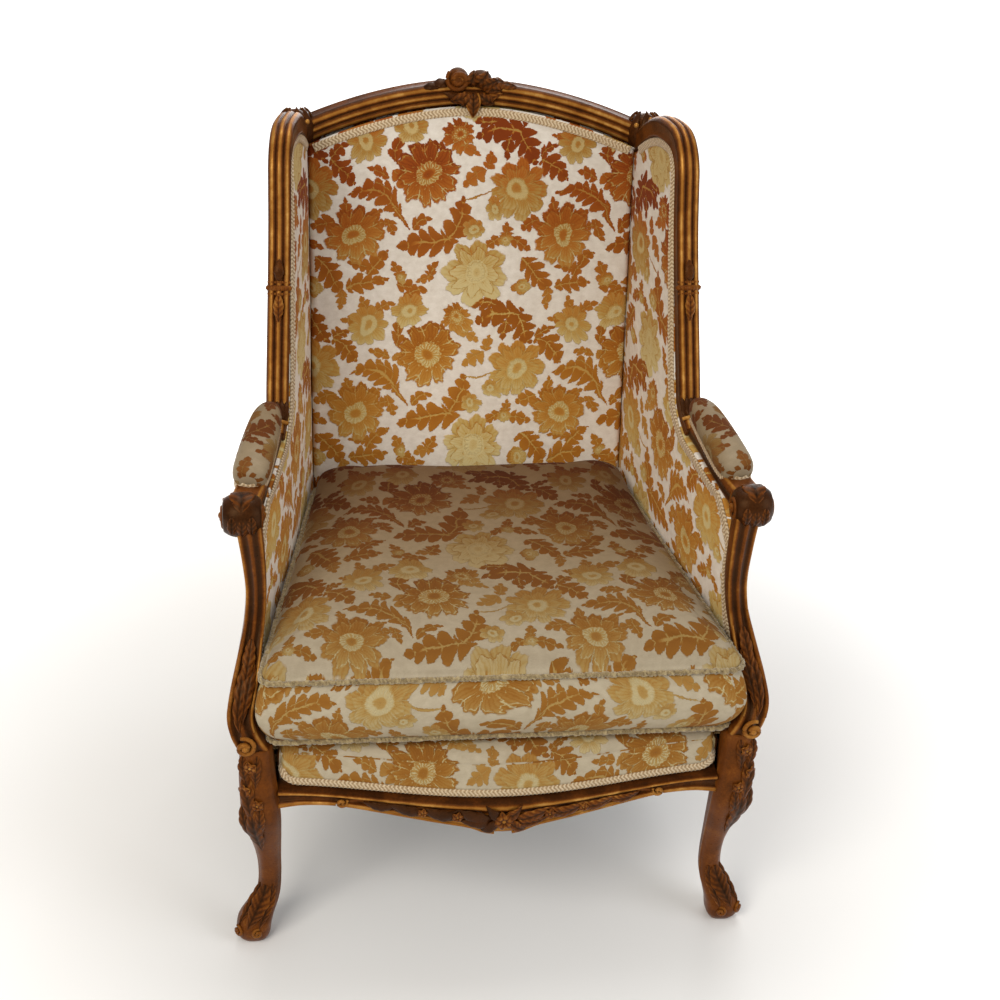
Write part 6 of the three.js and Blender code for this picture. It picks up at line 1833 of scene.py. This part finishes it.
def wing_cover():
    """The outside of the ear, its lowest rows let down onto the arm rail."""
    z = np.concatenate([np.arange(668, 980, 6), np.arange(980, EDGE[APEX, 1] - 0.4, 1.5)])
    rail = side_rows(ARM_RAIL, ARM + 3, ARM)[::-1]

    def rear(height):
        return np.minimum(post_y(height) - 0.62 * POST, top_y(height))

    def drop(y, height):
        return (668.5 - np.interp(y, rail[:, 1], rail[:, 2] + rail[:, 4] / 2)) * (1 - ease(height, 668, 760))

    return outside_panel(z, edge_y, rear, lambda height: 18.0 + 0 * height, drop)


def cover_gimp(far, normal, sides=("foot", "head", "front", "rear")):
    """Gimp round the chosen edges of an outside cover's outer grid: front, rear, foot or head."""
    edges = {"foot": far[0], "head": far[-1], "front": far[:, 0], "rear": far[:, -1]}
    inward = {"foot": [0, 0, 6], "head": [0, 0, -6], "front": [0, 6, 0], "rear": [0, -6, 0]}
    lift = np.asarray(normal, float) * 1.0
    return [gimp(edges[side][::2] + inward[side] + lift, normal, 11.0, 2.4) for side in sides]


def strap(points, across, wide, thick=1.0):
    """A webbing strap: a thin flat section along a line."""
    points = np.asarray(points, float)
    rows = np.column_stack([points, np.full(len(points), wide), np.full(len(points), thick)])
    return sweep(rows, np.asarray(across, float), rounded(16, 8), 12.0)


# The height of the straps' middle under the seat
WEBBING = 264.7


def seat_webbing():
    """Jute straps under the seat, four each way, woven over and under by half a millimetre."""
    parts = []
    for k in range(1, 5):
        x = FRONT_HALF * (2 * k / 5 - 1) * 0.93
        y = np.linspace(-288, 272, 40)
        wave = 0.42 * np.cos((y + 288) / 112 * np.pi + k * np.pi)
        line = np.column_stack([x + 0 * y - 0.09 * y * np.sign(x) * abs(x) / 300, y, WEBBING + wave])
        parts.append(strap(line, SIDEWAYS, 50))
        y0 = -290 + 564 * k / 5
        reach = float(side_x(y0, RAIL_FOOT)) - 4
        x = np.linspace(-reach, reach, 40)
        wave = 0.42 * np.cos((x / reach) * 2 * np.pi + k * np.pi)
        line = np.column_stack([x, y0 + 0 * x, WEBBING - wave])
        parts.append(strap(line, [0, 1, 0], 50))
    return joined(parts)


def back_webbing():
    """Jute straps across the back, three up and four across, behind the pad."""
    parts = []
    top = float(level(3.87))
    for k in range(1, 4):
        z = np.linspace(326, top - 4, 40)
        x = BACK_HALF * (2 * k / 4 - 1) + 0 * z
        y = post_y(z) + bow_y(x, z) - 15.7 + 0.4 * np.cos((z - 326) / 120 * np.pi + k * np.pi)
        parts.append(strap(np.column_stack([x, y, z]), SIDEWAYS, 50))
    for k in range(1, 5):
        z0 = SEAT_LINE + (top - SEAT_LINE) * k / 5
        half = float(post_inner(z0)) - 1
        x = np.linspace(-half, half, 40)
        y = post_y(z0) + bow_y(x, z0 + 0 * x) - 15.7 - 0.4 * np.cos(x / half * 1.5 * np.pi + k * np.pi)
        parts.append(strap(np.column_stack([x, y, z0 + 0 * x]), UPWARD, 50))
    return joined(parts)


def flat_sheet(front, rear, inset, low, thick, sag=0.0):
    """A sheet stretched level between the seat rails, its sides following the seat's plan."""
    y = np.linspace(front, rear, 46)[:, None]
    share = np.linspace(-1, 1, 60)
    x = share * (side_x(y, RAIL_FOOT) - inset)
    middle = (1 - share ** 2) * np.sin(np.pi * (y - front) / (rear - front))
    top = together(x, y, low + thick - sag * middle)
    under = top - [0, 0, thick]
    uv = top[..., :2] / 1000
    area = float(side_x(front, RAIL_FOOT) + side_x(rear, RAIL_FOOT) - 2 * inset) * (rear - front) / 1e6
    return slab_part(top, under, uv), area


def seat_spring(x, y):
    """A waisted coil: a round wire along a helix whose radius is least half way up, its end turns closed."""
    t = np.linspace(0, 1, 150)
    angle = 2 * np.pi * 4 * t
    radius = 20 + 7 * (2 * t - 1) ** 2
    low, high = 268.3, 320.0
    spots = np.column_stack([x + radius * np.cos(angle), y + radius * np.sin(angle),
                             low + (high - low) * ease(t, 0.03, 0.97)])
    rows = np.column_stack([spots, np.full(150, 3.6), np.full(150, 3.6)])
    return sweep(rows, UPWARD, rounded(8, 2), 4.0)


back = piece("inside_back_velvet", back_pad(), "velvet", ["inside_back_pad"])
for made in pair("inside_side_velvet", side_pad(), "velvet", "inside_side_pad"):
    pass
for made in pair("arm_pad_velvet", arm_pad(), "worn_velvet", "arm_pad"):
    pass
deck = piece("seat_deck_and_border", seat_deck(), "worn_velvet", ["seat_deck"])
cushion = piece("loose_seat_cushion", seat_cushion(), "worn_velvet", ["seat_cushion"], body="cushion")
rounder = cushion.modifiers.new("rounder", "SUBSURF")
rounder.levels = rounder.render_levels = 1
piece("cushion_moss_fringe", cushion_fringe(), "fringe", body="cushion")

piece("arch_gimp", arch_gimp(), "gimp")
piece("border_gimp", border_gimp(), "gimp")
pair("panel_gimp", panel_gimp(), "gimp")
pair("arm_pad_gimp", pad_gimp(), "gimp")

cover, outer = back_cover()
made = piece("outside_back_velvet", cover, "velvet", ["outside_back_cover"])
piece("outside_back_gimp", joined(cover_gimp(outer, [0, 1, 0], ["foot", "head"])
                                  + [gimp(outer[:, k][::2] + [s, 1.0, 0], [0, 1, 0], 11.0, 2.4)
                                     for k, s in ((0, 6.0), (-1, -6.0))]), "gimp")
cover, outer = arm_cover()
for made in pair("outside_arm_velvet", cover, "velvet", "outside_arm_cover"):
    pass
pair("outside_arm_gimp", joined(cover_gimp(outer, [1, 0, 0])), "gimp")
cover, outer = wing_cover()
for made in pair("outside_wing_velvet", cover, "velvet", "outside_wing_cover"):
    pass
pair("outside_wing_gimp", joined(cover_gimp(outer, [1, 0, 0])), "gimp")

piece("woven_seat_webbing", seat_webbing(), "jute", ["seat_webbing"])
piece("woven_back_webbing", back_webbing(), "jute", ["back_webbing"])
sheet, area = flat_sheet(-289.0, 204.0, 2.0, 322.3, 1.2)
made = piece("stretched_hessian", sheet, "jute", ["seat_hessian"])
sheet, area = flat_sheet(-296.0, 273.0, 1.5, 261.8, 1.6)
made = piece("cambric_dust_cover", sheet, "cambric", ["dust_cover"])
for row in (-1, 0, 1):
    for step in (-1, 0, 1):
        number = (row + 1) * 3 + step + 2
        piece(f"coil_spring_{number}", seat_spring(step * 150.0, row * 142.0 - 50), "spring_steel",
              [f"seat_spring_{number}"])


# Carried-over frame nodes
def finish_node(name, slot):
    """Gives a CAD node that stays the finish of its slot."""
    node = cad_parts[name]
    node.data.materials.clear()
    node.data.materials.append(FINISH[slot])


finish_node("rear_seat_rail", "gilded_wood")
for name in ("lower_back_rail", "right_side_tack_rail", "left_side_tack_rail", "right_front_corner_block",
             "left_front_corner_block", "right_rear_corner_block", "left_rear_corner_block"):
    finish_node(name, "bare_beech")


# Studio and camera
def studio():
    """A plain pale floor that keeps the chair's shadow, and a white surround."""
    world = bpy.data.worlds.new("studio")
    bpy.context.scene.world = world
    world.use_nodes = True
    tree = world.node_tree
    tree.nodes.clear()
    path = add(tree, "LightPath", out="Is Camera Ray").node
    seen = add(tree, "MAXIMUM", [path.outputs["Is Camera Ray"], path.outputs["Is Transmission Ray"]])
    fill = add(tree, "Background", {"Color": linear("#F2F1EE"), "Strength": 0.5})
    white = add(tree, "Background", {"Color": linear("#FFFFFF"), "Strength": 1.0})
    mixed = add(tree, "MixShader", [seen, fill, white])
    end = tree.nodes.new("ShaderNodeOutputWorld")
    tree.links.new(mixed, end.inputs["Surface"])

    floor_finish, tree, shader = new_material("pale_studio_floor", Roughness=0.75)
    place = add(tree, "TexCoord", out="Object")
    cloud = add(tree, "TexNoise", {"Vector": place, "Scale": 1.3, "Detail": 2.0})
    tint = add(tree, "ValToRGB", [cloud], stops=[(0.3, "#EBE9E6"), (0.7, "#F0EFED")])
    # beyond the chair's shadow the floor goes over into the white of the surround
    path = add(tree, "LightPath", out="Is Camera Ray").node
    seen = add(tree, "MAXIMUM", [path.outputs["Is Camera Ray"], path.outputs["Is Glossy Ray"]])
    seen = add(tree, "MAXIMUM", [seen, path.outputs["Is Transmission Ray"]])
    away = add(tree, "VectorMath", [place], "Value", operation="LENGTH")
    away = add(tree, "MapRange", [away, 0.5, 2.0], interpolation_type="SMOOTHSTEP")
    glow = add(tree, "MULTIPLY", [seen, away])
    shader.inputs["Emission Color"].default_value = linear("#FFFFFF")
    set_shader(tree, shader, {"Base Color": tint, "Emission Strength": glow})
    mesh = bpy.data.meshes.new("studio_floor")
    mesh.from_pydata([(-9, -9, 0), (9, -9, 0), (9, 9, 0), (-9, 9, 0)], [], [(0, 1, 2, 3)])
    mesh.materials.append(floor_finish)
    floor = bpy.data.objects.new("studio_floor", mesh)
    bpy.context.scene.collection.objects.link(floor)


def lamp(name, place, aim, size, power, colour="#FFFFFF"):
    """A square soft lamp that faces its aim."""
    light = bpy.data.lights.new(name, "AREA")
    light.size = size
    light.energy = power
    light.color = linear(colour)[:3]
    made = bpy.data.objects.new(name, light)
    made.location = place
    made.rotation_euler = (Vector(aim) - Vector(place)).to_track_quat("-Z", "Y").to_euler()
    bpy.context.scene.collection.objects.link(made)


def camera():
    """The photograph's camera: its place, then its turn about the three axes, from the fit to the photo."""
    yaw, pitch, roll = np.radians([7.69, 29.62, 2.86])
    ahead = np.array([np.sin(yaw) * np.cos(pitch), np.cos(yaw) * np.cos(pitch), -np.sin(pitch)])
    right = np.array([np.cos(yaw), -np.sin(yaw), 0])
    up = np.cross(right, ahead)
    right, up = np.cos(roll) * right + np.sin(roll) * up, -np.sin(roll) * right + np.cos(roll) * up
    lens = bpy.data.cameras.new("camera")
    lens.sensor_width = 36
    lens.lens = 57.38
    lens.clip_start = 0.05
    made = bpy.data.objects.new("camera", lens)
    turn = np.eye(4)
    turn[:3, 0], turn[:3, 1], turn[:3, 2] = right, up, -ahead
    turn[:3, 3] = [-0.245, (-1984 + CENTRE_Y) / 1000, 1.671]
    made.matrix_world = Matrix(turn.tolist())
    bpy.context.scene.collection.objects.link(made)
    bpy.context.scene.camera = made


studio()
camera()
lamp("key", (-1.6, -2.2, 2.6), (0, 0, 0.5), 1.6, 62, "#FFFAF2")
lamp("fill", (2.4, -1.6, 1.8), (0, 0, 0.5), 1.8, 28, "#F6F9FF")
lamp("top", (0.2, 0.8, 3.0), (0, 0, 0.6), 1.6, 32)
lamp("behind", (0.6, 2.6, 1.5), (0, 0, 0.5), 1.6, 20)
bpy.context.scene.view_settings.view_transform = "Standard"
